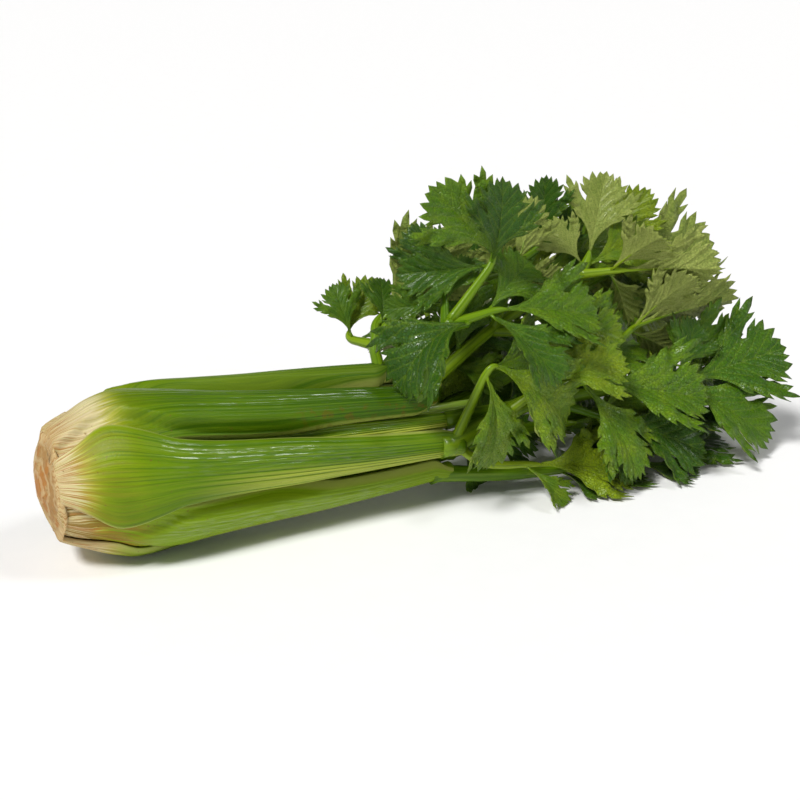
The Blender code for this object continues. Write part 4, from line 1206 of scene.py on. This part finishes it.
def stalk_film(paint):
    """Where a stalk is wet: drawn-out lines between the bulb and the joint, clear of the margins."""
    along, side = paint.values("along side")
    return paint.times(
        paint.step(paint.streaks(120, 16, 3), 0.46, 0.58, 0.05, 0.9), paint.step(along, 0.035, 0.065),
        paint.step(along, 0.195, 0.175, 0.1, 1.0), paint.step(side, -0.25, 0.15, 0.05, 1.0),
        paint.step(side, 0.85, 0.6, 0.05, 1.0),
    )


def make_stalk_paint():
    paint = Paint("stalk_skin")
    foot = paint.times_plus(paint.value("pale"), -0.021, paint.value("along"))
    greens = paint.step(foot, 0.004, 0.024)
    stalk_green(paint, foot, greens)
    stalk_ribs(paint, foot, greens)
    stalk_stains(paint)
    wet = paint.noise(paint.place(), 900.0, 2)
    height = paint.times_plus(paint.streaks(*FINE_STREAKS), 0.6, paint.times(wet, 0.5))
    return paint.surface(
        Normal=paint.bump(height, 0.35, 0.0006),
        Roughness=paint.math("ADD", paint.step(foot, 0.03, 0.0, 0.3, 0.62), paint.times(wet, 0.16)),
        Coat_Weight=stalk_film(paint), Coat_Roughness=0.09, Specular_IOR_Level=0.15, **GREEN_FLESH,
    )


def make_butt_paint():
    """A tan and brown cut with faint rings, and brown streaks on the skin that laps the stalks."""
    paint = Paint("butt_cut")
    radius, place = paint.value("rib"), paint.place()
    broad, fine = paint.noise(place, 70.0, 4), paint.noise(place, 480.0, 3)
    paint.colour = paint.mix(paint.step(broad, 0.36, 0.6), (0.42, 0.3, 0.125), (0.29, 0.16, 0.045))
    middle = paint.math("ADD", paint.step(radius, 0.85, 0.1, 0.0, 0.1), paint.noise(place, 90.0, 5, 0.72))
    paint.lay((0.33, 0.13, 0.018), paint.step(middle, 0.52, 0.62, 0.0, 0.9))
    paint.lay((0.2, 0.085, 0.022), paint.step(fine, 0.58, 0.7, 0.0, 0.7))
    rings = paint.math("SINE", paint.times_plus(radius, 22.0, paint.times(broad, 18.0)))
    paint.lay((0.54, 0.45, 0.25), paint.step(rings, 0.2, 1.0, 0.0, 0.35))
    lap = paint.step(paint.streaks(60, 14, 3), 0.42, 0.64)
    lap = paint.mix(lap, (0.5, 0.38, 0.18), (0.33, 0.165, 0.045))
    paint.lay(lap, paint.step(radius, 0.72, 0.86))
    return paint.surface(
        Roughness=0.62, Normal=paint.bump(paint.times_plus(fine, 0.5, broad), 0.7, 0.0012),
        Specular_IOR_Level=0.2, **TAN_FLESH,
    )


def make_stem_paint():
    paint = Paint("leaf_stem_skin")
    rib, tone = paint.values("rib tone")
    paint.colour = paint.ramp(tone, STEM_GREENS)
    lines = paint.step(paint.streaks(30, 3, 3), 0.42, 0.7, 0.0, 0.5)
    paint.lay((0.2, 0.3, 0.01), lines)
    paint.lay((0.045, 0.105, 0.001), paint.step(rib, 0.4, 0.0, 0.0, 0.5))
    return paint.surface(
        Normal=paint.bump(paint.noise(paint.place(), 800.0, 2), 0.2, 0.0005), Roughness=0.36,
        Specular_IOR_Level=0.18, Coat_Weight=0.12, Coat_Roughness=0.1, **GREEN_FLESH,
    )


def make_leaf_paint(name, greens, vein_colour, vein_share, rough, drops, glow):
    """A blade's face: greens by its tone, darker patches, pale veins and margin, and water drops."""
    paint = Paint(name)
    along, across, vein, rim, tone = paint.values("along across vein rim tone")
    flat = paint.combine(along, across)
    broad, fine = paint.noise(flat, 5.0, 4), paint.noise(flat, 42.0, 3)
    cells = paint.cells(flat, 34.0, "DISTANCE_TO_EDGE")
    paint.colour = paint.ramp(paint.math("ADD", tone, paint.step(broad, 0.3, 0.7, -0.16, 0.16)), greens)
    paint.lay(paint.darkened(1.0, (0.5, 0.6, 0.48)), paint.step(fine, 0.38, 0.66, 0.0, 0.7))
    for shares in ((paint.step(cells, 0.05, 0.0, 0.0, 0.35),), (vein, vein_share), (rim, 0.12)):
        paint.lay(vein_colour, *shares)
    height = paint.times_plus(fine, 0.35, paint.step(cells, 0.0, 0.12))
    beads = paint.step(paint.cells(flat, 24.0), 0.24, 0.1)
    beads = paint.times(beads, paint.step(broad, 0.54, 0.6, 0.0, drops))
    paint.surface(
        Roughness=paint.step(fine, 0.3, 0.7, rough - 0.06, rough + 0.1),
        Normal=paint.bump(paint.times_plus(beads, 1.2, height), 0.75, 0.0009), Specular_IOR_Level=0.34,
        Coat_Weight=paint.times_plus(beads, 0.9, 0.05), Coat_Roughness=0.08,
    )
    return paint.glow_through(glow, paint.mix(0.5, paint.colour, (0.26, 0.46, 0.004)))


def make_heart_paint():
    paint = Paint("heart_skin")
    paint.colour = paint.ramp(paint.math("DIVIDE", paint.value("along"), 0.22), HEART_GREENS)
    paint.lay((0.2, 0.28, 0.04), paint.step(paint.value("rib"), 0.5, 0.0, 0.0, 0.3))
    return paint.surface(Roughness=0.38, Coat_Weight=0.2, Coat_Roughness=0.2)


# Floor, camera and lights


def make_floor():
    paint = Paint("pale_floor")
    paint.colour = paint.mix(paint.noise(paint.place(), 60.0, 3), (0.9, 0.9, 0.9), (0.93, 0.93, 0.93))
    paint.surface(Roughness=0.65)
    mesh = bpy.data.meshes.new("floor")
    half = FLOOR_SIZE / 2
    corners = [(-half, -half, 0), (half, -half, 0), (half, half, 0), (-half, half, 0)]
    mesh.from_pydata(corners, [], [(0, 1, 2, 3)])
    mesh.materials.append(paint.material)
    add_object("floor", mesh)


def direction(azimuth, elevation):
    """A unit vector towards this side of the head, where azimuth 0 is -Y and 90 is +X."""
    a, e = math.radians(azimuth), math.radians(elevation)
    return Vector((math.sin(a) * math.cos(e), -math.cos(a) * math.cos(e), math.sin(e)))


def facing(toward):
    """The turn of a camera or light on this side of what it looks at."""
    return (-toward).to_track_quat("-Z", "Y").to_euler()


def make_camera():
    data = bpy.data.cameras.new("camera")
    data.angle = math.radians(CAMERA_LENS_ANGLE)
    data.shift_x, data.shift_y = CAMERA_SHIFT
    camera = add_object("camera", data)
    back = direction(CAMERA_AZIMUTH, CAMERA_ELEVATION)
    camera.location = CAMERA_TARGET + back * CAMERA_DISTANCE
    camera.rotation_euler = facing(back)
    bpy.context.scene.camera = camera


def make_lights():
    for name, (azimuth, elevation, width, strength, colour) in LIGHTS.items():
        data = bpy.data.lights.new(name, "SUN")
        data.angle, data.energy, data.color = math.radians(width), strength, colour
        light = add_object(name, data)
        toward = direction(azimuth, elevation)
        light.location = LIGHTS_CENTRE + toward
        light.rotation_euler = facing(toward)


def make_world():
    """White round the horizon, fading to a dimmer light above it."""
    world = bpy.data.worlds.new("studio")
    bpy.context.scene.world = world
    world.use_nodes = True
    nodes, links = world.node_tree.nodes, world.node_tree.links
    split, fade = nodes.new("ShaderNodeSeparateXYZ"), nodes.new("ShaderNodeMapRange")
    links.new(nodes.new("ShaderNodeTexCoord").outputs["Generated"], split.inputs[0])
    links.new(split.outputs["Z"], fade.inputs["Value"])
    for key, value in zip(("From Min", "From Max", "To Min", "To Max"), (*HORIZON_FADE, 1.0, WORLD_LIGHT)):
        fade.inputs[key].default_value = value
    links.new(fade.outputs[0], nodes["Background"].inputs["Strength"])
    nodes["Background"].inputs["Color"].default_value = (1, 1, 1, 1)


make_camera()
make_floor()
make_lights()
make_world()
bpy.context.scene.view_settings.view_transform = "Standard"

stalk_paint, butt_paint = make_stalk_paint(), make_butt_paint()
stem_paint, heart_paint = make_stem_paint(), make_heart_paint()
leaf_paint = make_leaf_paint("leaf_top_skin", LEAF_GREENS, (0.19, 0.3, 0.012), 0.32, 0.4, 1.0, 0.12)
under_paint = make_leaf_paint("leaf_under_skin", UNDER_GREENS, (0.36, 0.42, 0.09), 0.55, 0.58, 0.0, 0.15)
patterns = [Pattern(seed) for seed in range(VARIANTS)]
make_butt()
make_heart()
for stalk in STALKS:
    make_stalk(stalk)
for stalk in LEAVES:
    make_leaf(stalk)
